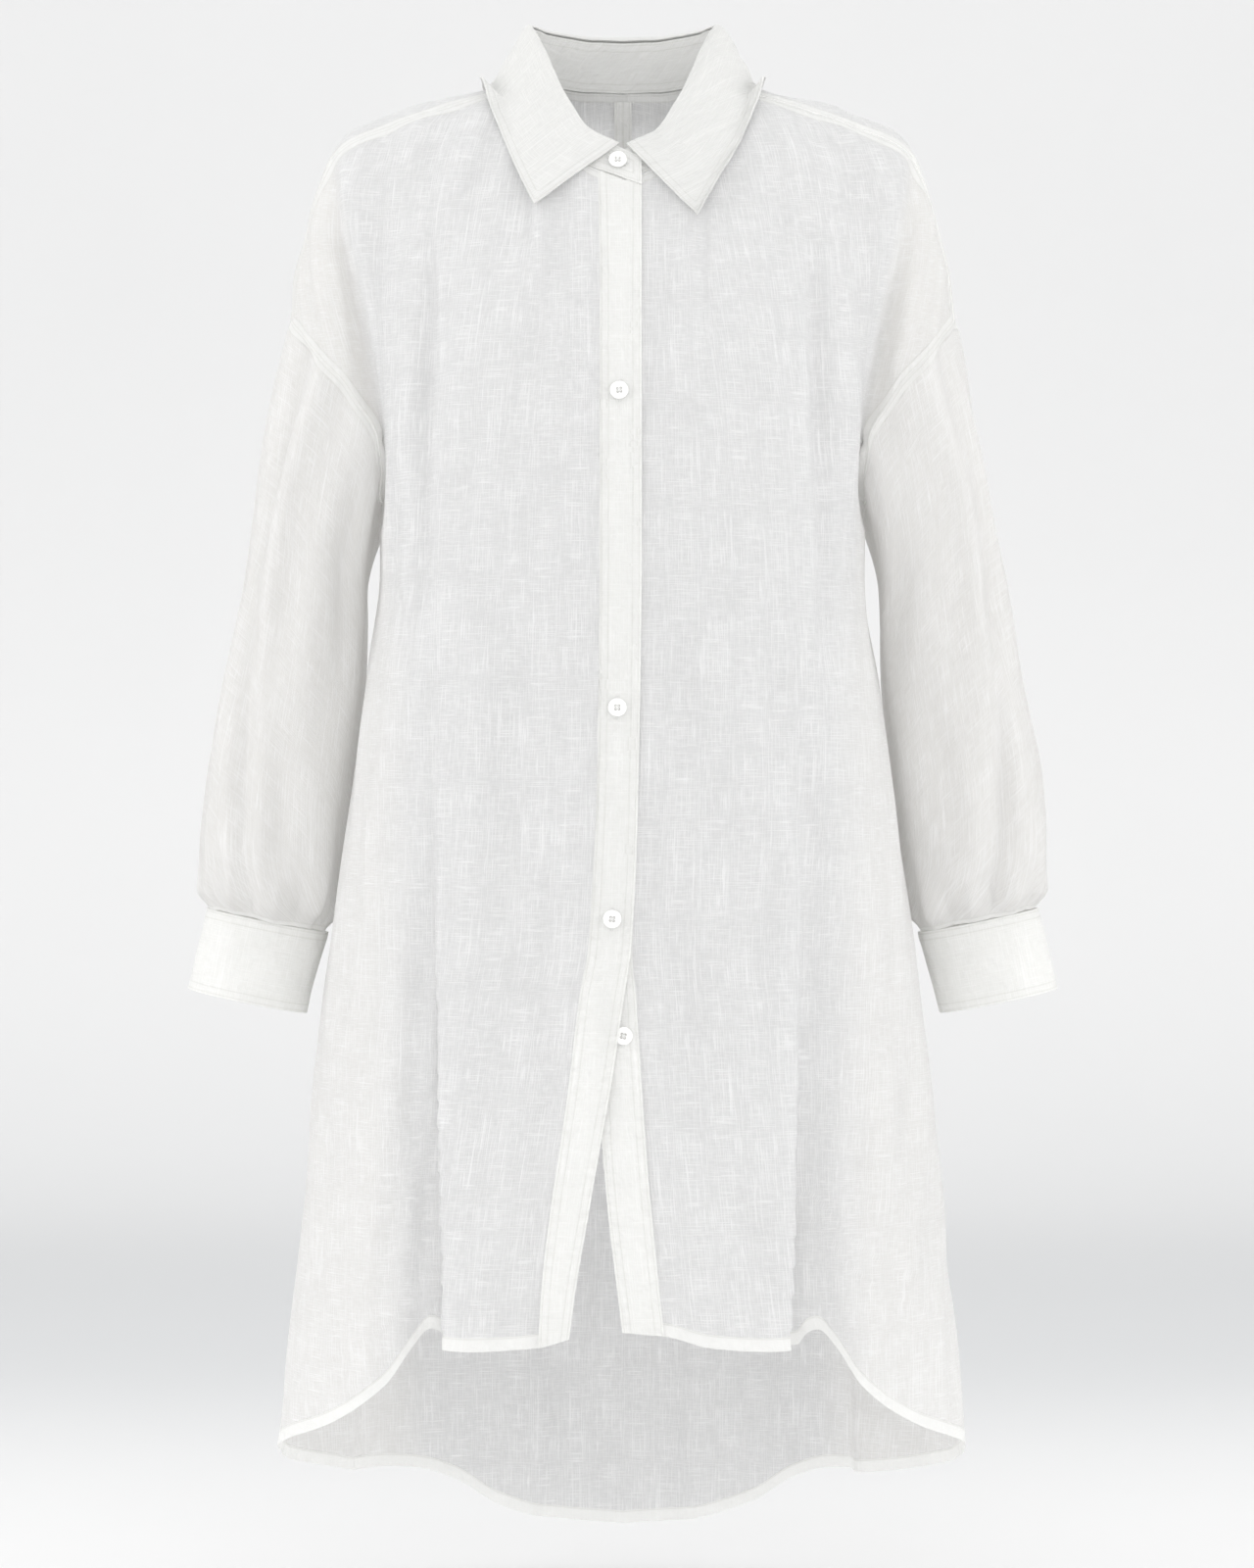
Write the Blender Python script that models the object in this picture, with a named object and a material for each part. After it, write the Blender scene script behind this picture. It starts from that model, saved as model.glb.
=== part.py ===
"""Long linen shirt with a high-low hem, kept in the hollow form of its wearer.

Metres, +Z up.  The origin is the middle of the neck, level with the points
where the neck meets the shoulders.  The front faces -Y, and the wearer's left
is +X.  Every piece of cloth is a thin closed wall.  The body pieces all lie on
one worn form: an oval trunk that flares to the hem, smoothly joined to the two
upper arms.  Seams are curves on that form, shared point by point by the pieces
that meet there, and each piece stops just short of them.
"""

import math

import bpy
import numpy as np

# Cloth, in metres.
WALL = 0.0011
BAND_WALL = 0.0014
COLLAR_WALL = 0.0014
SEAM_GAP = 0.0003

# Trunk sections: height, half width, front depth, back depth.
TRUNK = np.array([
    (0.060, 0.050, 0.012, 0.038),
    (0.035, 0.066, 0.018, 0.051),
    (0.017, 0.080, 0.024, 0.058),
    (0.006, 0.111, 0.031, 0.062),
    (-0.003, 0.145, 0.042, 0.065),
    (-0.012, 0.171, 0.048, 0.068),
    (-0.020, 0.183, 0.055, 0.070),
    (-0.035, 0.189, 0.066, 0.075),
    (-0.060, 0.190, 0.078, 0.082),
    (-0.100, 0.188, 0.094, 0.090),
    (-0.150, 0.184, 0.109, 0.097),
    (-0.200, 0.180, 0.119, 0.102),
    (-0.260, 0.176, 0.125, 0.105),
    (-0.340, 0.1745, 0.127, 0.107),
    (-0.430, 0.186, 0.128, 0.110),
    (-0.520, 0.198, 0.129, 0.114),
    (-0.620, 0.212, 0.131, 0.120),
    (-0.720, 0.223, 0.133, 0.126),
    (-0.820, 0.231, 0.136, 0.132),
    (-0.920, 0.2415, 0.139, 0.137),
    (-1.060, 0.2560, 0.142, 0.142),
])[::-1]

# Upper arm sections: height, outer edge, inner edge, front, back.
ARM = np.array([
    (-0.010, 0.150, 0.120, -0.010, 0.020),
    (-0.022, 0.196, 0.130, -0.020, 0.032),
    (-0.030, 0.2045, 0.132, -0.027, 0.040),
    (-0.045, 0.2140, 0.134, -0.035, 0.048),
    (-0.060, 0.2195, 0.136, -0.040, 0.054),
    (-0.085, 0.2270, 0.138, -0.044, 0.060),
    (-0.125, 0.2365, 0.138, -0.047, 0.065),
    (-0.165, 0.2420, 0.140, -0.048, 0.068),
    (-0.225, 0.2530, 0.142, -0.047, 0.069),
    (-0.280, 0.2640, 0.148, -0.045, 0.068),
    (-0.340, 0.2740, 0.156, -0.043, 0.067),
])[::-1]

# The form of an arm stops here, just past the armhole: height, distance out.
ARM_END = np.array([
    (-0.100, 0.330),
    (-0.140, 0.272),
    (-0.158, 0.250),
    (-0.190, 0.223),
    (-0.215, 0.204),
    (-0.235, 0.190),
    (-0.250, 0.178),
    (-0.265, 0.167),
    (-0.290, 0.145),
])[::-1]

# How softly arm and trunk run together: height, radius.
JOINING = np.array([(0.0, 0.030), (-0.060, 0.030), (-0.160, 0.022), (-0.230, 0.014), (-0.330, 0.006)])[::-1]
SQUARENESS = 2.35

# Hanging folds of the trunk: bearing at the top and at the hem in degrees
# (0 front, plus towards the wearer's left), top height, width towards the front
# and away from it in degrees, depth at the hem (minus is a trough, plus a ridge).
FOLDS = [
    (-55.0, -48.5, -0.36, 3.2, 5.0, -0.022),
    (-42.0, -38.0, -0.36, 6.0, 6.0, 0.006),
    (53.0, 46.0, -0.40, 3.4, 5.0, -0.018),
    (42.0, 36.5, -0.40, 6.0, 6.0, 0.005),
    (-108.0, -108.0, -0.45, 5.5, 5.5, -0.022),
    (-124.0, -124.0, -0.45, 7.0, 7.0, 0.007),
    (112.0, 115.0, -0.45, 5.5, 5.5, -0.028),
    (130.0, 131.0, -0.45, 7.0, 7.0, 0.008),
    (-152.0, -152.0, -0.40, 6.0, 6.0, -0.009),
    (158.0, 158.0, -0.40, 6.0, 6.0, -0.009),
    (-80.0, -80.0, -0.50, 9.0, 9.0, 0.003),
    (80.0, 80.0, -0.50, 9.0, 9.0, 0.003),
]

# Neckline: distance out, depth, height, from the front to the middle of the back.
NECK_FRONT = np.array([
    (0.0100, -0.0790, -0.0662),
    (0.0175, -0.0780, -0.0621),
    (0.0275, -0.0755, -0.0576),
    (0.0470, -0.0660, -0.0410),
    (0.0620, -0.0480, -0.0200),
    (0.0710, -0.0220, 0.0060),
])
NECK_BACK = np.array([
    (0.0710, -0.0220, 0.0060),
    (0.0735, 0.0040, 0.0160),
    (0.0680, 0.0280, 0.0190),
    (0.0500, 0.0470, 0.0185),
    (0.0260, 0.0560, 0.0170),
    (0.0000, 0.0580, 0.0165),
])

# The two yoke seams, from the neck and from the middle of the back to the armhole.
YOKE_FRONT = np.array([
    (0.0710, -0.0220, 0.0060),
    (0.0870, -0.0260, 0.0020),
    (0.1023, -0.0300, -0.0023),
    (0.1234, -0.0330, -0.0080),
    (0.1374, -0.0340, -0.0135),
    (0.1655, -0.0340, -0.0213),
    (0.1865, -0.0300, -0.0285),
    (0.2000, -0.0240, -0.0345),
    (0.2094, -0.0170, -0.0455),
    (0.2160, -0.0130, -0.0620),
    (0.2230, -0.0120, -0.0900),
    (0.2325, -0.0120, -0.1245),
    (0.2385, -0.0120, -0.1585),
])
YOKE_BACK = np.array([
    (0.0000, 0.0880, -0.0850),
    (0.0600, 0.0870, -0.0860),
    (0.1200, 0.0750, -0.0880),
    (0.1650, 0.0580, -0.0920),
    (0.1960, 0.0520, -0.1040),
    (0.2180, 0.0470, -0.1250),
    (0.2345, 0.0340, -0.1630),
])

# Dropped armhole, down the front to the underarm, up the back, over the top.
ARMHOLE_FRONT = np.array([
    (0.2385, -0.0120, -0.1585),
    (0.2280, -0.0310, -0.1700),
    (0.2140, -0.0430, -0.1885),
    (0.1995, -0.0480, -0.2090),
    (0.1860, -0.0475, -0.2315),
    (0.1750, -0.0430, -0.2530),
    (0.1740, -0.0320, -0.2720),
    (0.1765, -0.0140, -0.2845),
    (0.1800, 0.0080, -0.2890),
])
ARMHOLE_BACK = np.array([
    (0.1800, 0.0080, -0.2890),
    (0.1780, 0.0340, -0.2850),
    (0.1750, 0.0550, -0.2680),
    (0.1790, 0.0650, -0.2450),
    (0.1930, 0.0680, -0.2200),
    (0.2085, 0.0660, -0.1960),
    (0.2235, 0.0560, -0.1760),
    (0.2345, 0.0340, -0.1630),
])
ARMHOLE_TOP = np.array([
    (0.2345, 0.0340, -0.1630),
    (0.2395, 0.0100, -0.1570),
    (0.2385, -0.0120, -0.1585),
])

# Hem: distance around from the middle of the front, height.
HEM = np.array([
    (-0.040, -0.868),
    (0.000, -0.871),
    (0.030, -0.874),
    (0.060, -0.882),
    (0.100, -0.884),
    (0.120, -0.880),
    (0.137, -0.874),
    (0.150, -0.886),
    (0.166, -0.914),
    (0.200, -0.939),
    (0.242, -0.957),
    (0.2885, -0.975),
    (0.322, -0.990),
    (0.374, -1.005),
    (0.427, -1.010),
    (0.452, -1.019),
    (0.480, -1.038),
    (0.520, -1.050),
    (0.577, -1.056),
])

# Front bands: height, top band seam and edge, under band edge and seam (all in x).
BANDS = np.array([
    (-0.060, -0.0175, 0.0133, -0.0175, 0.0115),
    (-0.150, -0.0161, 0.0132, -0.0172, 0.0115),
    (-0.330, -0.0160, 0.0132, -0.0172, 0.0115),
    (-0.425, -0.0167, 0.0122, -0.0180, 0.0105),
    (-0.493, -0.0180, 0.0108, -0.0190, 0.0095),
    (-0.547, -0.0200, 0.0094, -0.0205, 0.0080),
    (-0.608, -0.0241, 0.0057, -0.0215, 0.0068),
    (-0.642, -0.0300, 0.0007, -0.0200, 0.0094),
    (-0.702, -0.0370, -0.0080, -0.0160, 0.0132),
    (-0.741, -0.0425, -0.0150, -0.0142, 0.0159),
    (-0.790, -0.0498, -0.0234, -0.0100, 0.0200),
    (-0.842, -0.0556, -0.0316, -0.0040, 0.0253),
    (-0.885, -0.0580, -0.0370, 0.0010, 0.0300),
])[::-1]

# How far the top front stands out over the under front: height, lift.
LIFT = np.array([(-0.05, 0.0020), (-0.58, 0.0020), (-0.64, 0.0048), (-0.89, 0.0050)])[::-1]
LIFT_FROM, LIFT_FULL = 0.066, 0.022

# Sleeve rings from armhole to cuff seam: share of the length, outer edge and its
# height, inner edge and its height, mid depth, half depth.
SLEEVE = np.array([
    (0.00, 0.2390, -0.157, 0.1820, -0.290, 0.010, 0.057),
    (0.10, 0.2490, -0.200, 0.1850, -0.312, 0.012, 0.058),
    (0.22, 0.2595, -0.250, 0.1865, -0.340, 0.016, 0.057),
    (0.35, 0.2715, -0.318, 0.1880, -0.378, 0.022, 0.055),
    (0.48, 0.2835, -0.378, 0.1905, -0.425, 0.029, 0.054),
    (0.60, 0.2960, -0.437, 0.1950, -0.470, 0.034, 0.054),
    (0.72, 0.3055, -0.490, 0.1995, -0.515, 0.034, 0.053),
    (0.84, 0.3100, -0.540, 0.2040, -0.558, 0.030, 0.050),
    (0.94, 0.3100, -0.568, 0.2095, -0.586, 0.024, 0.041),
    (1.00, 0.3022, -0.5825, 0.2175, -0.600, 0.020, 0.031),
])
CUFF_TOP = (0.3026, -0.5832, 0.2173, -0.6007)
CUFF_BOTTOM = (0.3155, -0.6415, 0.2320, -0.6590)
CUFF_DEPTH = 0.030
CUFF_MID = (0.020, 0.012)
CUFF_LAP = 0.022

# Gathers above the cuff: how many around, share where they start, depth.
CUFF_GATHERS = (11, 0.74, 0.0022)

# Collar.
STAND_PATH = np.array([
    (0.0134, -0.0800, -0.0735),
    (-0.0040, -0.0795, -0.0667),
    (-0.0275, -0.0755, -0.0576),
    (-0.0470, -0.0660, -0.0410),
    (-0.0620, -0.0480, -0.0200),
    (-0.0710, -0.0220, 0.0060),
    (-0.0735, 0.0040, 0.0160),
    (-0.0680, 0.0280, 0.0190),
    (-0.0500, 0.0470, 0.0185),
    (-0.0260, 0.0560, 0.0170),
    (0.0000, 0.0580, 0.0165),
    (0.0260, 0.0560, 0.0170),
    (0.0500, 0.0470, 0.0185),
    (0.0680, 0.0280, 0.0190),
    (0.0735, 0.0040, 0.0160),
    (0.0710, -0.0220, 0.0060),
    (0.0620, -0.0480, -0.0200),
    (0.0470, -0.0660, -0.0410),
    (0.0275, -0.0755, -0.0576),
    (0.0040, -0.0795, -0.0667),
    (-0.0134, -0.0800, -0.0735),
])
STAND_FRONT, STAND_BACK = 0.022, 0.036
STAND_LEAN, STAND_LEAN_SIDE = 0.34, 0.60
FALL_CLEAR = 0.0052
# Outer edge of the fall, from a point to the middle of the back.
FALL_EDGE = np.array([
    (-0.0620, -0.1000, -0.0869),
    (-0.0745, -0.0850, -0.0610),
    (-0.0865, -0.0640, -0.0350),
    (-0.0975, -0.0360, -0.0080),
    (-0.1040, -0.0020, 0.0090),
    (-0.0970, 0.0330, 0.0100),
    (-0.0760, 0.0600, 0.0085),
    (-0.0420, 0.0770, 0.0070),
    (0.0000, 0.0830, 0.0060),
])
# Its point on the wearer's left hangs a little nearer the middle and lower.
LEFT_POINT = np.array([(0.0525, -0.1000, -0.0950), (0.0700, -0.0850, -0.0620)])

# Buttons: x, height, and which wall they sit on.
BUTTON_RADIUS = 0.0064
BUTTON_HEIGHT = 0.0024
TOP_BUTTONS = [(-0.0024, -0.2207), (-0.0037, -0.4402), (-0.0072, -0.5864)]
UNDER_BUTTON = (0.0004, -0.6670)
STAND_BUTTON_COLUMN = 1.35
CUFF_BUTTON_RADIUS = 0.0055
BACK_STRIP_WIDTH = 0.013
BACK_STRIP_SPAN = (-0.078, 0.012)

# Point counts along the shared seams.
N_SIDE, N_ARM_FRONT, N_ARM_BACK, N_ARM_TOP = 14, 10, 11, 3
N_NECK_FRONT, N_YOKE_FRONT, N_YOKE_BACK = 5, 11, 12
N_SLEEVE = 13

# The line inside the body that level rays leave from, and the length given to a
# radian around its ends.
CORE, TURN = 0.100, 0.120
AROUND = 2 * CORE + math.pi * TURN
HEART = -0.120

WHITE = (0.86, 0.86, 0.85)
BRIGHT = (0.93, 0.93, 0.92)
SHELL_WHITE = (0.95, 0.95, 0.94)


def read(table, column, at):
    """One column of a table, read smoothly at any place along its first column."""
    places, values = table[:, 0], table[:, column]
    rates = np.diff(values) / np.diff(places)
    before, after = np.r_[rates[0], rates], np.r_[rates, rates[-1]]
    slopes = np.where(before * after > 0, 2 * before * after / (before + after + 1e-30), 0.0)
    at = np.clip(at, places[0], places[-1])
    i = np.clip(np.searchsorted(places, at) - 1, 0, len(places) - 2)
    step = places[i + 1] - places[i]
    t = (at - places[i]) / step
    return ((1 + 2 * t) * (1 - t) ** 2 * values[i] + t * (1 - t) ** 2 * step * slopes[i]
            + t * t * (3 - 2 * t) * values[i + 1] + t * t * (t - 1) * step * slopes[i + 1])


def resample(nodes, count):
    """Evenly spaced points on a smooth curve through the nodes."""
    nodes = np.asarray(nodes, float)
    chord = np.r_[0, np.cumsum(np.linalg.norm(np.diff(nodes, axis=0), axis=1))]
    fine = np.linspace(0, chord[-1], 400)
    table = np.c_[chord, nodes]
    path = np.stack([read(table, k + 1, fine) for k in range(nodes.shape[1])], axis=-1)
    length = np.r_[0, np.cumsum(np.linalg.norm(np.diff(path, axis=0), axis=1))]
    even = np.linspace(0, length[-1], count + 1)
    return np.stack([np.interp(even, length, path[:, k]) for k in range(nodes.shape[1])], axis=-1)


def oval(x, y, half, front, back):
    """How far a point lies outside a level oval section (negative inside)."""
    x = x + 1e-9
    depth = np.where(y < 0, front, back)
    size = ((np.abs(x) / half) ** SQUARENESS + (np.abs(y) / depth) ** SQUARENESS) ** (1 / SQUARENESS)
    radius = np.hypot(x, y)
    return radius - radius / size


def fold_depth(x, y, z):
    """Sum of the hanging folds at a point of the trunk."""
    bearing = np.degrees(np.arctan2(x, -y))
    total = 0.0
    for top_bearing, hem_bearing, top, near, far, depth in FOLDS:
        fall = np.clip((top - z) / (top + 1.0), 0, 1)
        centre = top_bearing + (hem_bearing - top_bearing) * fall
        turn = (bearing - centre + 180) % 360 - 180
        width = np.where(turn * np.sign(top_bearing) < 0, near, far)
        total = total + depth * fall ** 1.4 * np.exp(-(turn / width) ** 2)
    return total


def worn_form(points):
    """How far points lie outside the worn form."""
    x, y, z = points[..., 0], points[..., 1], points[..., 2]
    trunk = oval(x, y, read(TRUNK, 1, z), read(TRUNK, 2, z), read(TRUNK, 3, z)) - fold_depth(x, y, z)
    outer, inner = read(ARM, 1, z), read(ARM, 2, z)
    front, back = read(ARM, 3, z), read(ARM, 4, z)
    middle = 0.5 * (front + back)
    arm = oval(np.abs(x) - 0.5 * (outer + inner), y - middle, 0.5 * (outer - inner),
               middle - front, back - middle)
    past = np.maximum(0.8 * (np.abs(x) - read(ARM_END, 1, z)), 2 * (z - ARM[-1, 0]))
    arm = np.maximum(arm, past) + np.maximum(0.006 - np.abs(arm - past), 0) ** 2 / 0.024
    soft = read(JOINING, 1, z)
    trunk = np.maximum(trunk, z - TRUNK[-1, 0])
    return np.minimum(trunk, arm) - np.maximum(soft - np.abs(trunk - arm), 0) ** 2 / (4 * soft)


def cast(origin, direction, reach=0.36, steps=40):
    """First point of the worn form's surface along each ray."""
    t = np.linspace(0.004, reach, steps)
    line = origin[..., None, :] + direction[..., None, :] * t[:, None]
    first = np.clip((worn_form(line) > 0).argmax(axis=-1), 1, steps - 1)
    low, high = t[first - 1], t[first]
    for _ in range(22):
        middle = 0.5 * (low + high)
        out = worn_form(origin + direction * middle[..., None]) > 0
        low, high = np.where(out, low, middle), np.where(out, middle, high)
    return origin + direction * low[..., None]


def outward(points):
    """Unit normals of the worn form."""
    step = 0.0006
    slope = np.stack([worn_form(points + step * axis) - worn_form(points - step * axis)
                      for axis in np.eye(3)], axis=-1)
    return slope / np.linalg.norm(slope, axis=-1, keepdims=True)


def body_point(place, side):
    """Point of the form at (distance around from the front middle, height)."""
    around, height = place[..., 0], place[..., 1]
    turn = np.clip((around - CORE) / TURN, 0, math.pi)
    start = np.where(around < CORE, around, np.minimum(CORE, AROUND - around))
    origin = np.stack([side * start, 0 * height, height], axis=-1)
    direction = np.stack([side * np.sin(turn), -np.cos(turn), 0 * turn], axis=-1)
    return cast(origin, direction)


def body_place(points, side):
    """The inverse of body_point for points on the form."""
    x, y = side * points[..., 0], points[..., 1]
    turn = np.arctan2(x - CORE, -y)
    around = np.where(x > CORE, CORE + TURN * turn, np.where(y < 0, x, AROUND - x))
    return np.stack([around, points[..., 2]], axis=-1)


def crown_point(place, side):
    """Point of the form at (bearing from the back, elevation) seen from the heart."""
    bearing, rise = place[..., 0], place[..., 1]
    direction = np.stack([side * np.sin(bearing) * np.cos(rise), np.cos(bearing) * np.cos(rise),
                          np.sin(rise)], axis=-1)
    origin = np.zeros_like(direction)
    origin[..., 2] = HEART
    return cast(origin, direction)


def crown_place(points, side):
    """The inverse of crown_point."""
    x, y, z = side * points[..., 0], points[..., 1], points[..., 2] - HEART
    return np.stack([np.arctan2(x, y), np.arctan2(z, np.hypot(x, y))], axis=-1)


def crown_seam(nodes, side, count):
    """A seam through the nodes, put on the form along rays from the heart."""
    points = resample(nodes, count) * (side, 1, 1)
    return crown_point(crown_place(points, side), side)


def level_seam(nodes, side, count):
    """A seam through the nodes, put on the form along level rays."""
    points = resample(nodes, count) * (side, 1, 1)
    return body_point(body_place(points, side), side)


def fill(bottom, top, left, right, hold=4.0):
    """Grid of places between four edges, left and right running upwards.

    Straight rows join left to right, and the shapes of the bottom and top edges
    are added to them, fading away from those edges.
    """
    u = np.linspace(0, 1, len(bottom))[:, None]
    v = np.linspace(0, 1, len(left))[:, None, None]
    rows = (1 - u) * left[:, None] + u * right[:, None]
    low = bottom - (1 - u) * bottom[0] - u * bottom[-1]
    high = top - (1 - u) * top[0] - u * top[-1]
    return rows + (1 - v) ** 1.5 * low + v ** hold * high


def draw_in(grid, amount, rows=True, columns=True):
    """Move the border points of a grid inwards along the cloth."""
    grid = grid.copy()
    if rows:
        for edge, inside in ((0, 1), (-1, -2)):
            step = grid[inside] - grid[edge]
            grid[edge] += amount * step / np.linalg.norm(step, axis=-1, keepdims=True)
    if columns:
        for edge, inside in ((0, 1), (-1, -2)):
            step = grid[:, inside] - grid[:, edge]
            grid[:, edge] += amount * step / np.linalg.norm(step, axis=-1, keepdims=True)
    return grid


def grid_normals(grid, closed=False):
    """Unit normals of a free grid of points."""
    if closed:
        wide = np.concatenate([grid[:, -1:], grid, grid[:, :1]], axis=1)
        along = np.gradient(wide, axis=1)[:, 1:-1]
    else:
        along = np.gradient(grid, axis=1)
    normals = np.cross(along, np.gradient(grid, axis=0))
    return normals / np.linalg.norm(normals, axis=-1, keepdims=True)


def material(name, colour, roughness):
    made = bpy.data.materials.get(name) or bpy.data.materials.new(name)
    made.use_nodes = True
    shader = made.node_tree.nodes["Principled BSDF"]
    shader.inputs["Base Color"].default_value = (*colour, 1.0)
    shader.inputs["Roughness"].default_value = roughness
    return made


def add_body(name, points, faces, finish):
    """One closed mesh object, its faces turned outwards."""
    mesh = bpy.data.meshes.new(name)
    mesh.from_pydata(points.tolist(), [], faces)
    mesh.update()
    corner = points[[f[0] for f in faces]]
    volume = 0.0
    for k in range(1, max(len(f) for f in faces) - 1):
        rows = [f for f in faces if len(f) > k + 1]
        a, b, c = (points[[f[i] for f in rows]] for i in (0, k, k + 1))
        volume += np.einsum("ij,ij->", a, np.cross(b, c))
    if volume < 0:
        mesh.flip_normals()
    mesh.materials.append(finish)
    made = bpy.data.objects.new(name, mesh)
    bpy.context.collection.objects.link(made)
    mesh.shade_smooth()
    mesh.set_sharp_from_angle(angle=math.radians(50))
    return made


def add_wall(name, outer, inner, finish, closed=False):
    """Thin closed wall between two matching grids of points."""
    rows, columns = outer.shape[:2]
    size = rows * columns
    points = np.concatenate([outer.reshape(-1, 3), inner.reshape(-1, 3)])
    faces = []
    for r in range(rows - 1):
        for c in range(columns if closed else columns - 1):
            d = (c + 1) % columns
            quad = [r * columns + c, r * columns + d, (r + 1) * columns + d, (r + 1) * columns + c]
            faces.append(quad)
            faces.append([size + i for i in reversed(quad)])
    border = []
    if closed:
        border.append([c for c in range(columns)] + [0])
        border.append([(rows - 1) * columns + c for c in range(columns)][::-1] + [rows * columns - 1])
    else:
        loop = [c for c in range(columns)]
        loop += [r * columns + columns - 1 for r in range(1, rows)]
        loop += [(rows - 1) * columns + c for c in range(columns - 2, -1, -1)]
        loop += [r * columns for r in range(rows - 2, -1, -1)]
        border.append(loop)
    for loop in border:
        for a, b in zip(loop[:-1], loop[1:]):
            faces.append([b, a, size + a, size + b])
    return add_body(name, points, faces, finish)


def form_wall(name, surface, finish, thickness=WALL, lift=0.0, gap=SEAM_GAP):
    """Wall whose outer face lies on the form, or lifted off it."""
    surface = draw_in(surface, gap / 2)
    normals = outward(surface)
    outer = surface + normals * np.asarray(lift)[..., None]
    return add_wall(name, outer, outer - normals * thickness, finish)


def hem_height(around):
    return read(HEM, 1, around)


def front_lift(around, height):
    near = np.clip((LIFT_FROM - around) / (LIFT_FROM - LIFT_FULL), 0, 1)
    return near * near * (3 - 2 * near) * read(LIFT, 1, height)


def side_seams(side):
    """Shared seams of one side, as points on the form."""
    arm_front = level_seam(ARMHOLE_FRONT, side, N_ARM_FRONT)
    arm_back = level_seam(ARMHOLE_BACK, side, N_ARM_BACK)
    arm_top = level_seam(ARMHOLE_TOP, side, N_ARM_TOP)
    yoke_front = crown_seam(YOKE_FRONT, side, N_YOKE_FRONT)
    yoke_back = crown_seam(YOKE_BACK, side, N_YOKE_BACK)
    arm_top[0] = arm_back[-1]
    arm_top[-1] = arm_front[0]
    yoke_front[-1] = arm_front[0]
    yoke_back[-1] = arm_back[-1]
    underarm = body_place(arm_front[-1:], side)[0]
    heights = np.linspace(hem_height(underarm[0]), underarm[1], N_SIDE + 1)
    seam = body_point(np.stack([np.full(N_SIDE + 1, underarm[0]), heights], axis=-1), side)
    seam[-1] = arm_front[-1]
    arm_back[0] = arm_front[-1]
    return {"arm_front": arm_front, "arm_back": arm_back, "arm_top": arm_top,
            "yoke_front": yoke_front, "yoke_back": yoke_back, "side": seam}


def front_panel(name, side, seams, centre_column, finish):
    """One front, from its band seam to the side seam, armhole, yoke and neck."""
    right = np.concatenate([seams["side"][:-1], seams["arm_front"][::-1]])
    start = read(BANDS, centre_column, BANDS[-1, 0])
    corner = (abs(start), -0.079, read(NECK_FRONT, 2, abs(start)))
    neck = crown_seam(np.vstack([corner, NECK_FRONT[2:]]), side, N_NECK_FRONT)
    rows = len(right)
    low = np.linspace(-0.880, -0.290, N_SIDE + 1)
    high = np.linspace(-0.290, corner[2], rows - N_SIDE)
    heights = np.r_[low[:-1], high]
    edge = side * read(BANDS, centre_column, heights)
    heights[0] = hem_height(edge[0])
    heights[:N_SIDE] = np.linspace(heights[0], heights[N_SIDE], N_SIDE + 1)[:-1]
    left = np.stack([side * read(BANDS, centre_column, heights), heights], axis=-1)
    top = body_place(np.concatenate([neck[:-1], seams["yoke_front"]]), side)
    top[0] = left[-1]
    right = body_place(right, side)
    columns = len(top)
    around = np.linspace(left[0, 0], right[0, 0], columns)
    bottom = np.stack([around, hem_height(around)], axis=-1)
    bottom[0], bottom[-1] = left[0], right[0]
    places = fill(bottom, top, left, right)
    surface = body_point(places, side)
    lift = front_lift(places[..., 0], places[..., 1]) if side < 0 else np.zeros(places.shape[:2])
    form_wall(name, surface, finish, lift=lift)
    return left


def band(name, side, left, edge_column, lifted, finish):
    """Folded band along one front edge, joined to the front at its seam."""
    heights = left[:, 1]
    outer_x = side * read(BANDS, edge_column, heights)
    share = np.linspace(0, 1, 4)
    around = left[:, :1] + (outer_x - left[:, 0])[:, None] * share
    height = np.repeat(heights[:, None], 4, axis=1)
    drop = np.clip((height - (-0.30)) / 0.24, 0, 1) ** 3
    height = height - drop * 0.38 * np.abs(around - left[:, :1])
    rise = np.clip((-0.80 - height) / 0.08, 0, 1)
    height = height + rise * (hem_height(around) - hem_height(left[:, :1]))
    places = np.stack([around, height], axis=-1)
    signed = body_point_any(places, side)
    lift = read(LIFT, 1, places[..., 1]) if lifted else np.zeros(places.shape[:2])
    form_wall(name, signed, finish, thickness=BAND_WALL, lift=lift + 0.0003)


def body_point_any(places, side):
    """Front points whose distance around may be past the middle line."""
    around, height = places[..., 0], places[..., 1]
    origin = np.stack([side * around, 0 * height, height], axis=-1)
    direction = np.zeros_like(origin)
    direction[..., 1] = -1.0
    return cast(origin, direction)


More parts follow.
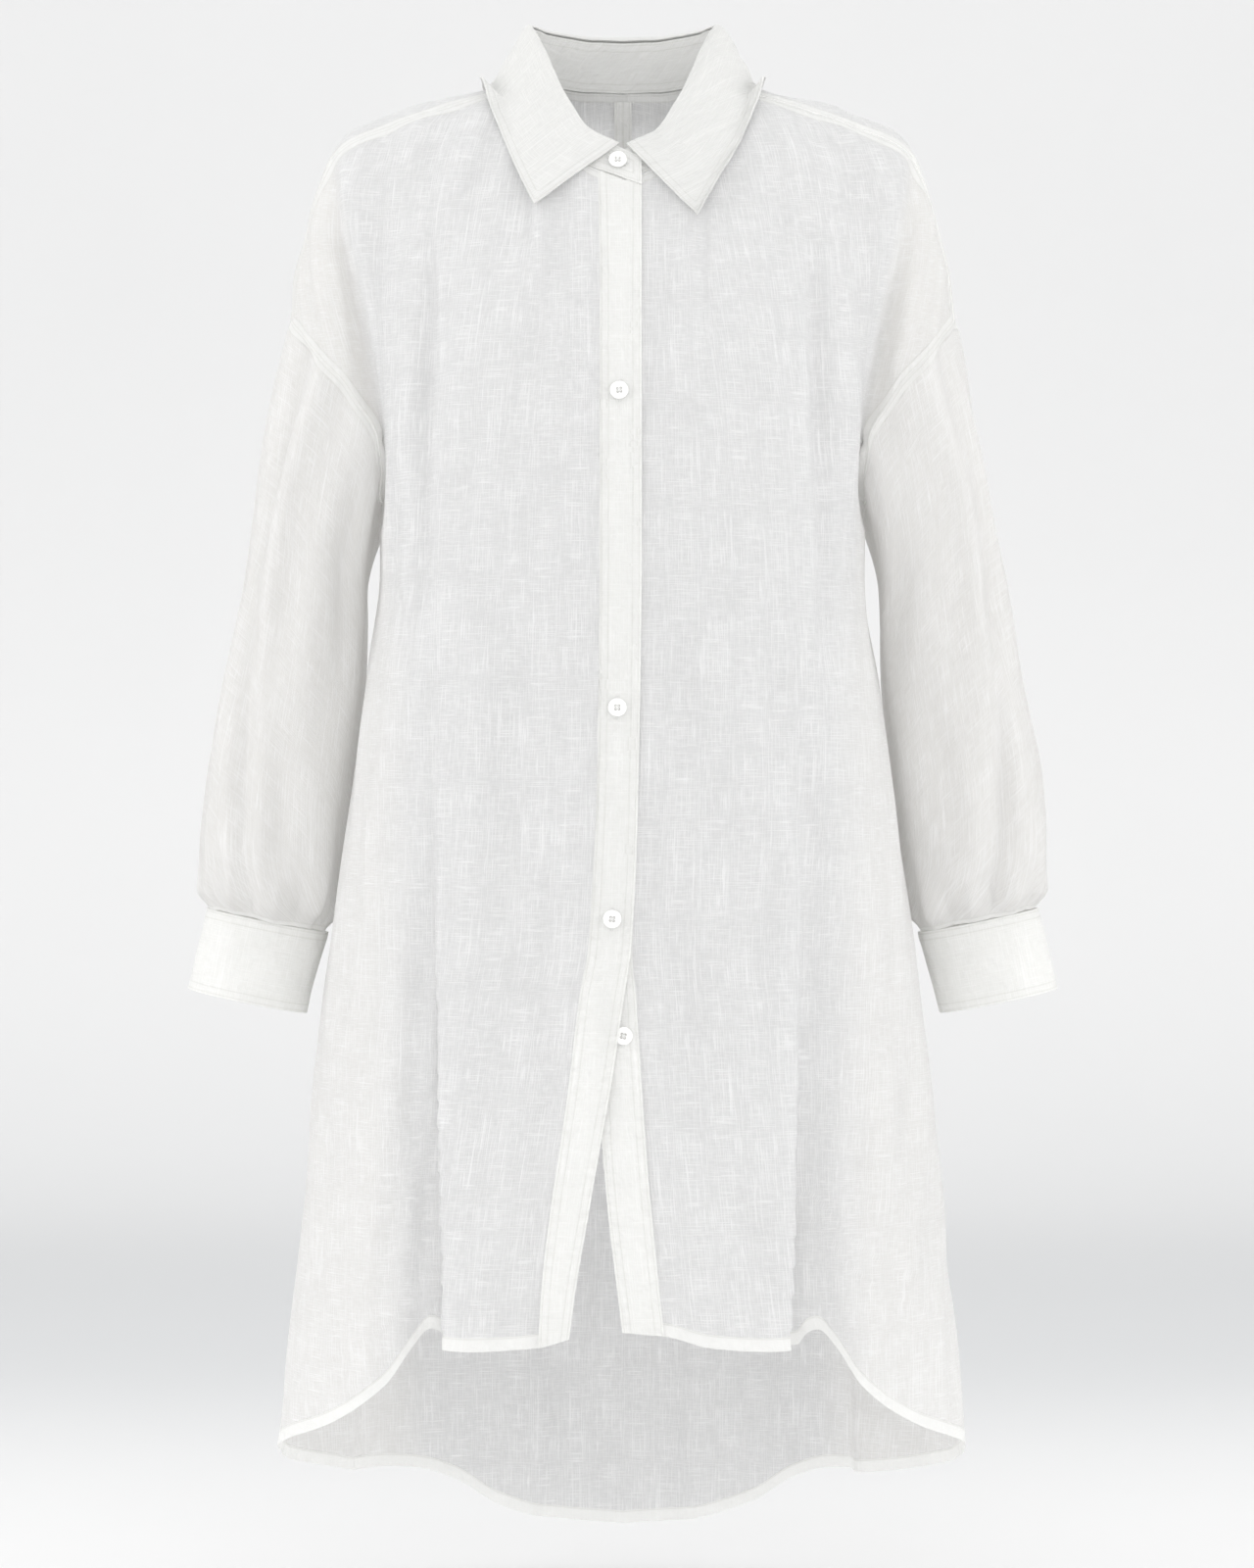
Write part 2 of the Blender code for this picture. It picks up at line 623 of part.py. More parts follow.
def build_body(cloth, bright):
    seams = {side: side_seams(side) for side in (-1, 1)}
    right_edge = front_panel("front_right", -1, seams[-1], 1, cloth)
    left_edge = front_panel("front_left", 1, seams[1], 4, cloth)
    band("placket_right", -1, right_edge, 2, True, bright)
    band("placket_left", 1, left_edge, 3, False, bright)

    halves = []
    yokes = []
    for side in (-1, 1):
        s = seams[side]
        right = body_place(np.concatenate([s["side"][:-1], s["arm_back"]]), side)
        top = body_place(s["yoke_back"], side)
        rows, columns = len(right), len(top)
        around = np.linspace(AROUND, right[0, 0], columns)
        bottom = np.stack([around, hem_height(around)], axis=-1)
        low = np.linspace(bottom[0, 1], -0.30, N_SIDE + 1)
        left = np.stack([np.full(rows, AROUND), np.r_[low[:-1], np.linspace(-0.30, top[0, 1], rows - N_SIDE)]], axis=-1)
        bottom[-1] = right[0]
        halves.append(body_point(fill(bottom, top, left, right), side))

        neck = crown_seam(NECK_BACK, side, N_YOKE_BACK)[::-1]
        right = crown_place(np.concatenate([s["arm_top"][:-1], s["yoke_front"][::-1]]), side)
        bottom = crown_place(s["yoke_back"], side)
        top = crown_place(neck, side)
        top[-1] = right[-1]
        left = np.linspace(bottom[0], top[0], len(right))
        yokes.append(crown_point(fill(bottom, top, left, right, hold=1.5), side))
    back = np.concatenate([halves[0][:, ::-1], halves[1][:, 1:]], axis=1)
    yoke = np.concatenate([yokes[0][:, ::-1], yokes[1][:, 1:]], axis=1)
    form_wall("back", back, cloth)
    form_wall("yoke", yoke, cloth)
    return seams


def ring(outer_x, outer_z, inner_x, inner_z, mid_y, depth, side, turns):
    """Oval ring of a sleeve, starting at its outer edge and turning to the front."""
    middle = np.array([0.5 * (outer_x + inner_x), mid_y, 0.5 * (outer_z + inner_z)])
    across = np.array([0.5 * (outer_x - inner_x), 0.0, 0.5 * (outer_z - inner_z)])
    c, s = np.cos(turns), np.sin(turns)
    squeeze = (np.abs(c) ** 2.2 + np.abs(s) ** 2.2) ** (-1 / 2.2)
    points = middle + (c * squeeze)[:, None] * across - (s * squeeze)[:, None] * np.array([0, depth, 0])
    return points * (side, 1, 1)


def build_sleeve(name, side, seams, cloth):
    """Sleeve from the armhole ring to the gathered seam of the cuff."""
    loop = np.concatenate([seams["arm_front"][:-1], seams["arm_back"][:-1], seams["arm_top"][:-1]])
    halfway = 0.5 * (loop + np.roll(loop, -1, axis=0))
    loop = np.stack([loop, halfway], axis=1).reshape(-1, 3)
    middle = loop.mean(axis=0)
    first = SLEEVE[0]
    across = np.array([first[1] - first[3], 0.0, first[2] - first[4]])
    across /= np.linalg.norm(across)
    local = (loop - middle) * (side, 1, 1)
    turns = np.unwrap(np.arctan2(-local[:, 1], local @ across))
    shares = 1 - (1 - np.linspace(0, 1, N_SLEEVE + 1)) ** 1.25
    rings = []
    for share in shares:
        row = [read(SLEEVE, k, share) for k in range(1, 7)]
        rings.append(ring(*row, side, turns))
    grid = np.stack(rings)
    held = loop - grid[0]
    fade = np.clip(1 - shares / 0.30, 0, 1)
    fade = fade * fade * (3 - 2 * fade)
    grid = grid + held[None] * fade[:, None, None]
    # Gathers deepen towards the cuff and are held in at its seam.
    waves, start, depth = CUFF_GATHERS
    way = np.clip((shares - start) / (1 - start), 0, 1)
    swell = depth * way ** 1.3 * (1 - 0.55 * np.clip((way - 0.8) / 0.2, 0, 1))
    wave = np.cos(waves * turns + 0.8 * np.sin(2 * turns))
    away = grid - grid.mean(axis=1, keepdims=True)
    away /= np.linalg.norm(away, axis=-1, keepdims=True)
    grid = grid + away * (swell[:, None] * wave)[..., None]
    # At the underarm the sleeve turns back down beside the trunk.
    under = np.clip((-(local @ across)) / 0.07, 0, 1) ** 2
    step = grid[1] - grid[0]
    step /= np.linalg.norm(step, axis=-1, keepdims=True)
    grid[0] += SEAM_GAP * step + (0.0009 * under)[:, None] * outward(loop)
    normals = grid_normals(grid, closed=True)
    if np.sum(normals[5] * (grid[5] - grid[5].mean(axis=0))) < 0:
        normals = -normals
    return add_wall(name, grid, grid - normals * WALL, cloth, closed=True)


def build_cuff(name, side, bright):
    """Buttoned cuff: a band once around, its end lapped over its start."""
    girth = 0.215
    turns = np.linspace(-0.62 * math.pi, -0.62 * math.pi + 2 * math.pi * (1 + CUFF_LAP / girth), 31)
    spread = 0.0021 * (turns - turns[0]) / (2 * math.pi)
    rows = []
    for share in np.linspace(0, 1, 4):
        sizes = [a + (b - a) * share for a, b in zip(CUFF_TOP, CUFF_BOTTOM)]
        mid = CUFF_MID[0] + (CUFF_MID[1] - CUFF_MID[0]) * share
        points = ring(*sizes, mid, CUFF_DEPTH, side, turns)
        centre = np.array([side * 0.5 * (sizes[0] + sizes[2]), mid, 0.5 * (sizes[1] + sizes[3])])
        away = points - centre
        away /= np.linalg.norm(away, axis=-1, keepdims=True)
        rows.append(points + away * spread[:, None])
    grid = np.stack(rows)
    normals = grid_normals(grid)
    if np.sum(normals[1] * (grid[1] - grid[1].mean(axis=0))) < 0:
        normals = -normals
    add_wall(name, grid, grid - normals * BAND_WALL, bright)
    return grid, normals


def build_collar(bright):
    """Stand around the neckline and the fall turned down over it."""
    count = 40
    path = resample(STAND_PATH, count)
    t = np.linspace(0, 1, count + 1)
    placed = path.copy()
    for i, point in enumerate(path):
        side = 1 if point[0] > 0 else -1
        if 4 <= i <= count - 4:
            placed[i] = crown_point(crown_place(point[None], side), side)[0]
        else:
            placed[i] = body_point_any(np.array([[side * point[0], point[2]]]), side)[0]
    normals = outward(placed)
    flat = np.stack([path[:, 0], path[:, 1] + 0.006, 0 * t], axis=-1)
    away = flat / np.linalg.norm(flat, axis=-1, keepdims=True)
    # The top end laps over the under end at the front.
    lap = np.clip((0.125 - t) / 0.055, 0, 1)
    lap = 0.0021 * lap * lap * (3 - 2 * lap)
    tall = STAND_BACK + (STAND_FRONT - STAND_BACK) * np.clip(np.abs(t - 0.5) * 2.3 - 0.15, 0, 1) ** 1.5
    # Upright at the back; at the front it follows the slope of the chest.
    slope = np.array([0, 0, 1.0]) - normals[:, 2:] * normals
    slope /= np.linalg.norm(slope, axis=-1, keepdims=True)
    front = np.clip((np.abs(t - 0.5) * 2 - 0.55) / 0.30, 0, 1)[:, None]
    lean = STAND_LEAN_SIDE * np.exp(-((np.abs(t - 0.5) * 2 - 0.67) / 0.15) ** 2)
    up = (1 - front) * (np.array([0, 0, 1.0]) - STAND_LEAN * away) + front * slope
    up[:, 0] -= lean * np.sign(path[:, 0])
    up /= np.linalg.norm(up, axis=-1, keepdims=True)
    away = (1 - front) * away + front * normals
    base = placed + 0.0004 * normals + away * lap[:, None]
    levels = np.linspace(0, 1, 4)
    grid = np.stack([base + up * (0.0017 + tall * v)[:, None] for v in levels])
    face = grid_normals(grid)
    if np.sum(face[1] * away) < 0:
        face = -face
    stand_face = face
    add_wall("collar_stand", grid, grid - face * COLLAR_WALL, bright)

    # Fall: from just above the stand's top, over the roll, down to its edge.
    left = FALL_EDGE * (-1, 1, 1)
    left[:2] = LEFT_POINT
    edge = resample(np.concatenate([FALL_EDGE, left[::-1][1:]]), 36)
    start, stop = 11, 8 * count - 11
    s = np.linspace(0, 1, 36 + 1)
    mid = 1 - np.abs(s - 0.5) * 2
    forward = np.clip(1.25 - mid * 2.5, 0, 1)[:, None]
    roll = resample(resample(grid[-1], 8 * count)[start:stop + 1], 36) + np.array([0, 0, 0.0032])
    roll = roll + (0.0013 + 0.0010 * forward) * resample(resample(away, 8 * count)[start:stop + 1], 36)
    out = edge - roll
    out[:, 2] = 0
    rise = 0.004 + 0.006 * np.clip(mid * 2.0, 0, 1) + 0.008 * mid ** 4
    turn = roll + 0.24 * out + np.array([0, 0, 1.0]) * rise[:, None]
    share = np.clip(mid / 0.45, 0, 1)[:, None]
    turn = (1 - share) * 0.5 * (roll + edge) + share * turn
    rows = []
    for v in np.linspace(0, 1, 7) ** 1.2:
        rows.append((1 - v) ** 2 * roll + 2 * v * (1 - v) * turn + v * v * edge)
    fall = np.stack(rows)
    # The fall rests on the shoulders and fronts instead of sinking into them.
    for _ in range(3):
        sunk = np.maximum(FALL_CLEAR - worn_form(fall), 0)
        fall = fall + outward(fall) * sunk[..., None]
    face = grid_normals(fall)
    if face[3, 18] @ np.array([0, 1.0, 0.3]) < 0:
        face = -face
    add_wall("collar_fall", fall, fall - face * COLLAR_WALL, bright)
    return grid, stand_face


def build_button(name, centre, normal, finish, radius=BUTTON_RADIUS):
    """Round button with a raised rim, seated just off the cloth."""
    high = BUTTON_HEIGHT
    profile = [(0.0, 0.0), (0.81 * radius, 0.0), (radius, 0.33 * high), (radius, 0.7 * high),
               (0.86 * radius, high), (0.67 * radius, 0.87 * high), (0.0, 0.75 * high)]
    normal = normal / np.linalg.norm(normal)
    side = np.cross(normal, (0.0, 0.0, 1.0))
    side /= np.linalg.norm(side)
    other = np.cross(normal, side)
    ringed = profile[1:-1]
    count = 14
    points = [centre]
    for reach, height in ringed:
        for k in range(count):
            a = 2 * math.pi * k / count
            points.append(centre + normal * height + reach * (math.cos(a) * side + math.sin(a) * other))
    points.append(centre + normal * profile[-1][1])
    faces = [[0, 1 + k, 1 + (k + 1) % count] for k in range(count)]
    for r in range(len(ringed) - 1):
        for k in range(count):
            a, b = 1 + r * count + k, 1 + r * count + (k + 1) % count
            faces.append([a, a + count, b + count, b])
    last = 1 + (len(ringed) - 1) * count
    faces += [[last + (k + 1) % count, last + k, len(points) - 1] for k in range(count)]
    return add_body(name, np.array(points), faces, finish)


def build_back_strip(bright):
    """Narrow folded strip on the inside of the yoke, down its middle."""
    across = np.linspace(-BACK_STRIP_WIDTH / 2, BACK_STRIP_WIDTH / 2, 3)
    height = np.linspace(*BACK_STRIP_SPAN, 9)
    places = np.stack(np.meshgrid(AROUND - across, height), axis=-1)
    surface = body_point(places, 1)
    normals = outward(surface)
    inside = surface - normals * (WALL + SEAM_GAP)
    add_wall("back_strip", inside, inside - normals * BAND_WALL, bright)


def seat_on_front(x, z, lift):
    point = body_point_any(np.array([[abs(x) if x < 0 else -x, z]]), -1)[0]
    normal = outward(point[None])[0]
    return point + normal * (lift + SEAM_GAP), normal


def build():
    for old in list(bpy.data.objects):
        bpy.data.objects.remove(old, do_unlink=True)
    cloth = material("linen single layer", WHITE, 0.9)
    bright = material("linen double layer", BRIGHT, 0.85)
    shell = material("white button", SHELL_WHITE, 0.3)
    seams = build_body(cloth, bright)
    build_sleeve("sleeve_right", -1, seams[-1], cloth)
    build_sleeve("sleeve_left", 1, seams[1], cloth)
    cuffs = {"right": build_cuff("cuff_right", -1, bright), "left": build_cuff("cuff_left", 1, bright)}
    stand, stand_face = build_collar(bright)
    build_back_strip(bright)
    for side, (grid, normals) in cuffs.items():
        centre = 0.5 * (grid[1, -3] + grid[2, -3]) + normals[1, -3] * 2 * SEAM_GAP
        build_button("cuff_button_" + side, centre, normals[1, -3], shell, CUFF_BUTTON_RADIUS)
    share = STAND_BUTTON_COLUMN - 1
    middle = 0.5 * (stand[1] + stand[2])
    centre = (1 - share) * middle[1] + share * middle[2]
    normal = stand_face[1, 1] + stand_face[2, 2]
    build_button("button_1", centre + 0.5 * normal * 2 * SEAM_GAP, normal, shell)
    for number, (x, z) in enumerate(TOP_BUTTONS, start=2):
        lift = float(read(LIFT, 1, np.array(z))) + 0.0003
        centre, normal = seat_on_front(x, z, lift)
        build_button("button_%d" % number, centre, normal, shell)
    centre, normal = seat_on_front(*UNDER_BUTTON, 0.0003)
    build_button("button_5", centre, normal, shell)


build()
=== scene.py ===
"""Long white linen shirt with a high-low hem, in the hollow form of its wearer.

Metres, +Z up, front towards -Y, the wearer's left towards +X.  Every body piece
lies on one worn form, which is where a smooth sum of an oval trunk and two oval
upper arms is zero.  A place on the form is (distance around, height).
"""

import math

import bpy
import numpy as np
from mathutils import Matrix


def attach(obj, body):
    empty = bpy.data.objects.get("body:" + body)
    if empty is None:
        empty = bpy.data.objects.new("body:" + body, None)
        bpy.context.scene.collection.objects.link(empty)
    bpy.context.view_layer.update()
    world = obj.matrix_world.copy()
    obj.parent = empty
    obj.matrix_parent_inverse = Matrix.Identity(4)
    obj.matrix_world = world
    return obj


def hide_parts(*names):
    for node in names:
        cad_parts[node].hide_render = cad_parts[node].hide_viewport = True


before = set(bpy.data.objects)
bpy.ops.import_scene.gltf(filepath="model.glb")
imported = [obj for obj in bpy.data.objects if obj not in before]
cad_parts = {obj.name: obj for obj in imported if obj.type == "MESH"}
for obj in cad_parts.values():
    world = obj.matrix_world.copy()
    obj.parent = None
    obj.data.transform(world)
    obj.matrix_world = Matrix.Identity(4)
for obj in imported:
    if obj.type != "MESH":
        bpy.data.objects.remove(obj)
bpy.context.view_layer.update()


# Camera.  It looks level at the middle of the shirt from 2.8 m, and the whole
# length fills the frame.
camera_data = bpy.data.cameras.new("camera")
camera_data.lens = 88.7
camera_data.sensor_fit = "VERTICAL"
camera_data.sensor_height = 36
camera = bpy.data.objects.new("camera", camera_data)
camera.location = (0.003, -2.8, -0.493)
camera.rotation_euler = (math.radians(90), 0, 0)
bpy.context.collection.objects.link(camera)
bpy.context.scene.camera = camera


# Fronts.  Two linen panels cut full and hung from the yoke, with long soft folds
# from the chest to the hem and small gathers below the shoulder seam.  The
# wearer's right one lies on top.  The hem is turned twice and stitched, and the
# cloth is whiter where it is doubled.
CLOTH, DOUBLED = 0.0008, 0.0012

# Trunk sections: height, half width, front depth, back depth.
TRUNK = np.array([
    (0.060, 0.050, 0.012, 0.038),
    (0.035, 0.066, 0.018, 0.051),
    (0.017, 0.080, 0.024, 0.058),
    (0.006, 0.111, 0.031, 0.062),
    (-0.003, 0.145, 0.042, 0.065),
    (-0.012, 0.171, 0.048, 0.068),
    (-0.020, 0.183, 0.055, 0.070),
    (-0.035, 0.189, 0.066, 0.075),
    (-0.060, 0.190, 0.078, 0.082),
    (-0.100, 0.188, 0.094, 0.090),
    (-0.150, 0.184, 0.109, 0.097),
    (-0.200, 0.180, 0.119, 0.102),
    (-0.260, 0.176, 0.125, 0.105),
    (-0.340, 0.1745, 0.127, 0.107),
    (-0.430, 0.186, 0.128, 0.110),
    (-0.520, 0.198, 0.129, 0.114),
    (-0.620, 0.212, 0.131, 0.120),
    (-0.720, 0.223, 0.133, 0.126),
    (-0.820, 0.231, 0.136, 0.132),
    (-0.920, 0.2415, 0.139, 0.137),
    (-1.060, 0.2560, 0.142, 0.142),
])[::-1]

# Upper arm sections: height, outer edge, inner edge, front, back.
ARM = np.array([
    (-0.010, 0.150, 0.120, -0.010, 0.020),
    (-0.022, 0.196, 0.130, -0.020, 0.032),
    (-0.030, 0.2045, 0.132, -0.027, 0.040),
    (-0.045, 0.2140, 0.134, -0.035, 0.048),
    (-0.060, 0.2195, 0.136, -0.040, 0.054),
    (-0.085, 0.2270, 0.138, -0.044, 0.060),
    (-0.125, 0.2365, 0.138, -0.047, 0.065),
    (-0.165, 0.2420, 0.140, -0.048, 0.068),
    (-0.225, 0.2530, 0.142, -0.047, 0.069),
    (-0.280, 0.2640, 0.148, -0.045, 0.068),
    (-0.340, 0.2740, 0.156, -0.043, 0.067),
])[::-1]

# Where the form of an arm stops, just past the armhole: height, distance out.
ARM_END = np.array([
    (-0.100, 0.330),
    (-0.140, 0.272),
    (-0.158, 0.250),
    (-0.190, 0.223),
    (-0.215, 0.204),
    (-0.235, 0.190),
    (-0.250, 0.178),
    (-0.265, 0.167),
    (-0.290, 0.145),
])[::-1]

# How softly arm and trunk run together: height, radius.
JOINING = np.array([
    (0.0, 0.030),
    (-0.060, 0.030),
    (-0.160, 0.022),
    (-0.230, 0.014),
    (-0.330, 0.006),
])[::-1]
SQUARENESS = 2.35

# Hanging folds: bearing at the top and at the hem in degrees (0 front, plus to
# the wearer's left), top height, width towards the front and away from it in
# degrees, depth at the hem (minus is a trough, plus a ridge).
FOLDS = [
    (-55.0, -48.5, -0.33, 2.0, 5.5, -0.036),
    (-44.0, -40.5, -0.33, 8.0, 5.0, 0.008),
    (53.0, 46.0, -0.36, 2.2, 5.5, -0.032),
    (44.0, 38.5, -0.36, 8.0, 5.0, 0.007),
    (-108.0, -108.0, -0.45, 5.5, 5.5, -0.022),
    (-124.0, -124.0, -0.45, 7.0, 7.0, 0.007),
    (112.0, 115.0, -0.45, 5.5, 5.5, -0.028),
    (130.0, 131.0, -0.45, 7.0, 7.0, 0.008),
    (-152.0, -152.0, -0.40, 6.0, 6.0, -0.009),
    (158.0, 158.0, -0.40, 6.0, 6.0, -0.009),
    (-80.0, -80.0, -0.50, 9.0, 9.0, 0.003),
    (80.0, 80.0, -0.50, 9.0, 9.0, 0.003),
]

# Neckline: distance out, depth, height, from the front to the middle of the back.
NECK_FRONT = np.array([
    (0.0100, -0.0790, -0.0662),
    (0.0175, -0.0780, -0.0621),
    (0.0275, -0.0755, -0.0576),
    (0.0470, -0.0660, -0.0410),
    (0.0620, -0.0480, -0.0200),
    (0.0710, -0.0220, 0.0060),
])
NECK_BACK = np.array([
    (0.0710, -0.0220, 0.0060),
    (0.0735, 0.0040, 0.0160),
    (0.0680, 0.0280, 0.0190),
    (0.0500, 0.0470, 0.0185),
    (0.0260, 0.0560, 0.0170),
    (0.0000, 0.0580, 0.0165),
])

# The two yoke seams, from the neck and from the middle of the back to the armhole.
YOKE_FRONT = np.array([
    (0.0710, -0.0220, 0.0060),
    (0.0870, -0.0260, 0.0020),
    (0.1023, -0.0300, -0.0023),
    (0.1234, -0.0330, -0.0080),
    (0.1374, -0.0340, -0.0135),
    (0.1655, -0.0340, -0.0213),
    (0.1865, -0.0300, -0.0285),
    (0.2000, -0.0240, -0.0345),
    (0.2094, -0.0170, -0.0455),
    (0.2160, -0.0130, -0.0620),
    (0.2230, -0.0120, -0.0900),
    (0.2325, -0.0120, -0.1245),
    (0.2385, -0.0120, -0.1585),
])
YOKE_BACK = np.array([
    (0.0000, 0.0880, -0.0850),
    (0.0600, 0.0870, -0.0860),
    (0.1200, 0.0750, -0.0880),
    (0.1650, 0.0580, -0.0920),
    (0.1960, 0.0520, -0.1040),
    (0.2180, 0.0470, -0.1250),
    (0.2345, 0.0340, -0.1630),
])

# Dropped armhole, down the front to the underarm, up the back, over the top.
ARMHOLE_FRONT = np.array([
    (0.2385, -0.0120, -0.1585),
    (0.2280, -0.0310, -0.1700),
    (0.2140, -0.0430, -0.1885),
    (0.1995, -0.0480, -0.2090),
    (0.1860, -0.0475, -0.2315),
    (0.1750, -0.0430, -0.2530),
    (0.1740, -0.0320, -0.2720),
    (0.1765, -0.0140, -0.2845),
    (0.1800, 0.0080, -0.2890),
])
ARMHOLE_BACK = np.array([
    (0.1800, 0.0080, -0.2890),
    (0.1780, 0.0340, -0.2850),
    (0.1750, 0.0550, -0.2680),
    (0.1790, 0.0650, -0.2450),
    (0.1930, 0.0680, -0.2200),
    (0.2085, 0.0660, -0.1960),
    (0.2235, 0.0560, -0.1760),
    (0.2345, 0.0340, -0.1630),
])
ARMHOLE_TOP = np.array([
    (0.2345, 0.0340, -0.1630),
    (0.2395, 0.0100, -0.1570),
    (0.2385, -0.0120, -0.1585),
])

# Hem: distance around from the middle of the front, height.
HEM = np.array([
    (-0.040, -0.868),
    (0.000, -0.871),
    (0.030, -0.874),
    (0.060, -0.882),
    (0.100, -0.885),
    (0.124, -0.884),
    (0.132, -0.875),
    (0.139, -0.873),
    (0.150, -0.885),
    (0.166, -0.912),
    (0.200, -0.939),
    (0.242, -0.957),
    (0.2885, -0.975),
    (0.322, -0.990),
    (0.374, -1.005),
    (0.427, -1.010),
    (0.452, -1.019),
    (0.480, -1.038),
    (0.520, -1.050),
    (0.577, -1.056),
])

# Front bands: height, top band seam and edge, under band edge and seam (all in x).
BANDS = np.array([
    (-0.060, -0.0175, 0.0133, -0.0175, 0.0115),
    (-0.150, -0.0161, 0.0132, -0.0172, 0.0115),
    (-0.330, -0.0160, 0.0132, -0.0172, 0.0115),
    (-0.425, -0.0167, 0.0122, -0.0180, 0.0105),
    (-0.493, -0.0180, 0.0108, -0.0190, 0.0095),
    (-0.547, -0.0200, 0.0094, -0.0205, 0.0080),
    (-0.608, -0.0241, 0.0057, -0.0215, 0.0068),
    (-0.642, -0.0300, 0.0007, -0.0200, 0.0094),
    (-0.702, -0.0370, -0.0080, -0.0160, 0.0132),
    (-0.741, -0.0425, -0.0150, -0.0142, 0.0159),
    (-0.790, -0.0498, -0.0234, -0.0100, 0.0200),
    (-0.842, -0.0556, -0.0316, -0.0040, 0.0253),
    (-0.885, -0.0580, -0.0370, 0.0010, 0.0300),
])[::-1]

# How far the top front stands out over the under front: height, lift.
LIFT = np.array([(-0.05, 0.0020), (-0.58, 0.0020), (-0.64, 0.0048), (-0.89, 0.0050)])[::-1]
LIFT_FROM, LIFT_FULL = 0.066, 0.022

# Creases of each front on the cloth: start (around, height), end (around,
# height), half width, depth (minus is a trough).
FRONT_CREASES = {
    -1: [
        (0.148, -0.110, 0.142, -0.215, 0.0050, -0.0016),
        (0.128, -0.060, 0.134, -0.260, 0.0070, -0.0014),
        (0.150, -0.070, 0.158, -0.420, 0.0110, -0.0090),
        (0.075, -0.300, 0.078, -0.700, 0.0130, -0.0050),
        (0.052, -0.420, 0.056, -0.800, 0.0080, -0.0016),
        (0.105, -0.330, 0.112, -0.700, 0.0110, 0.0018),
        (0.172, -0.480, 0.190, -0.860, 0.0120, -0.0016),
        (0.212, -0.500, 0.226, -0.930, 0.0140, -0.0022),
        (0.070, -0.185, 0.115, -0.200, 0.0035, -0.0005),
        (0.060, -0.240, 0.100, -0.246, 0.0035, -0.0004),
        (0.103, -0.020, 0.101, -0.052, 0.0022, -0.0012),
        (0.109, -0.021, 0.109, -0.048, 0.0020, -0.0010),
        (0.115, -0.022, 0.117, -0.060, 0.0024, -0.0012),
        (0.123, -0.023, 0.125, -0.046, 0.0020, -0.0008),
        (0.096, -0.018, 0.093, -0.044, 0.0020, -0.0010),
        (0.200, -0.330, 0.158, -0.420, 0.0060, -0.0016),
    ],
    1: [
        (0.145, -0.100, 0.150, -0.230, 0.0060, -0.0016),
        (0.120, -0.070, 0.122, -0.240, 0.0080, -0.0012),
        (0.150, -0.080, 0.160, -0.420, 0.0110, -0.0085),
        (0.040, -0.340, 0.046, -0.800, 0.0120, -0.0046),
        (0.085, -0.300, 0.090, -0.620, 0.0120, 0.0020),
        (0.112, -0.380, 0.113, -0.860, 0.0070, 0.0022),
        (0.180, -0.460, 0.196, -0.840, 0.0120, 0.0018),
        (0.215, -0.520, 0.230, -0.930, 0.0120, -0.0022),
        (0.070, -0.200, 0.112, -0.190, 0.0035, -0.0004),
        (0.055, -0.560, 0.075, -0.790, 0.0070, -0.0012),
        (0.101, -0.020, 0.099, -0.050, 0.0022, -0.0012),
        (0.107, -0.021, 0.108, -0.054, 0.0020, -0.0009),
        (0.115, -0.022, 0.115, -0.048, 0.0024, -0.0012),
        (0.122, -0.023, 0.126, -0.052, 0.0020, -0.0009),
        (0.200, -0.330, 0.160, -0.410, 0.0060, -0.0014),
    ],
}

# Edge of the body's front, which hangs over the arm beside it: height, distance
# out.  The cloth rises to it and sinks behind it: place from the edge, half
# width, depth.
BODY_EDGE = np.array([
    (-0.040, 0.206),
    (-0.071, 0.202),
    (-0.146, 0.187),
    (-0.200, 0.177),
    (-0.255, 0.169),
    (-0.310, 0.168),
])[::-1]
EDGE_FOLD = [(-0.010, 0.010, 0.0045), (0.007, 0.007, -0.0110)]

# Heights that rows of a front start from before the hem and seams bend them, the
# depth of its neck corner, and the height where the back's rows turn to the yoke.
LOW_ROW, UNDERARM_ROW, CORNER_DEPTH = -0.880, -0.290, -0.079
BACK_ROW = -0.30

# Point counts along the shared seams.
N_SIDE, N_ARM_FRONT, N_ARM_BACK, N_ARM_TOP = 150, 44, 48, 14
N_NECK_FRONT, N_YOKE_FRONT, N_YOKE_BACK = 26, 84, 66

# The line that level rays leave from, the length given to a radian around its
# ends, and the point that the yoke's rays leave from.
CORE, TURN = 0.100, 0.120
AROUND = 2 * CORE + math.pi * TURN
HEART = -0.120


def ease(share):
    """0 up to share 0 and 1 from share 1, with a smooth step between."""
    t = np.clip(share, 0, 1)
    return t * t * (3 - 2 * t)


def unit(vectors):
    """Vectors brought to length 1."""
    return vectors / np.linalg.norm(vectors, axis=-1, keepdims=True)


def halves_of(left, right):
    """Two half grids that share the middle column, joined from right to left."""
    return np.concatenate([left[:, ::-1], right[:, 1:]], axis=1)


def read(table, column, at):
    """One column of a table at any place: a cubic between rows that never overshoots them."""
    places, values = table[:, 0], table[:, column]
    rates = np.diff(values) / np.diff(places)
    before, after = np.r_[rates[0], rates], np.r_[rates, rates[-1]]
    slopes = np.where(before * after > 0, 2 * before * after / (before + after + 1e-30), 0.0)
    at = np.clip(at, places[0], places[-1])
    i = np.clip(np.searchsorted(places, at) - 1, 0, len(places) - 2)
    step = places[i + 1] - places[i]
    t = (at - places[i]) / step
    return ((1 + 2 * t) * (1 - t) ** 2 * values[i] + t * (1 - t) ** 2 * step * slopes[i]
            + t * t * (3 - 2 * t) * values[i + 1] + t * t * (t - 1) * step * slopes[i + 1])


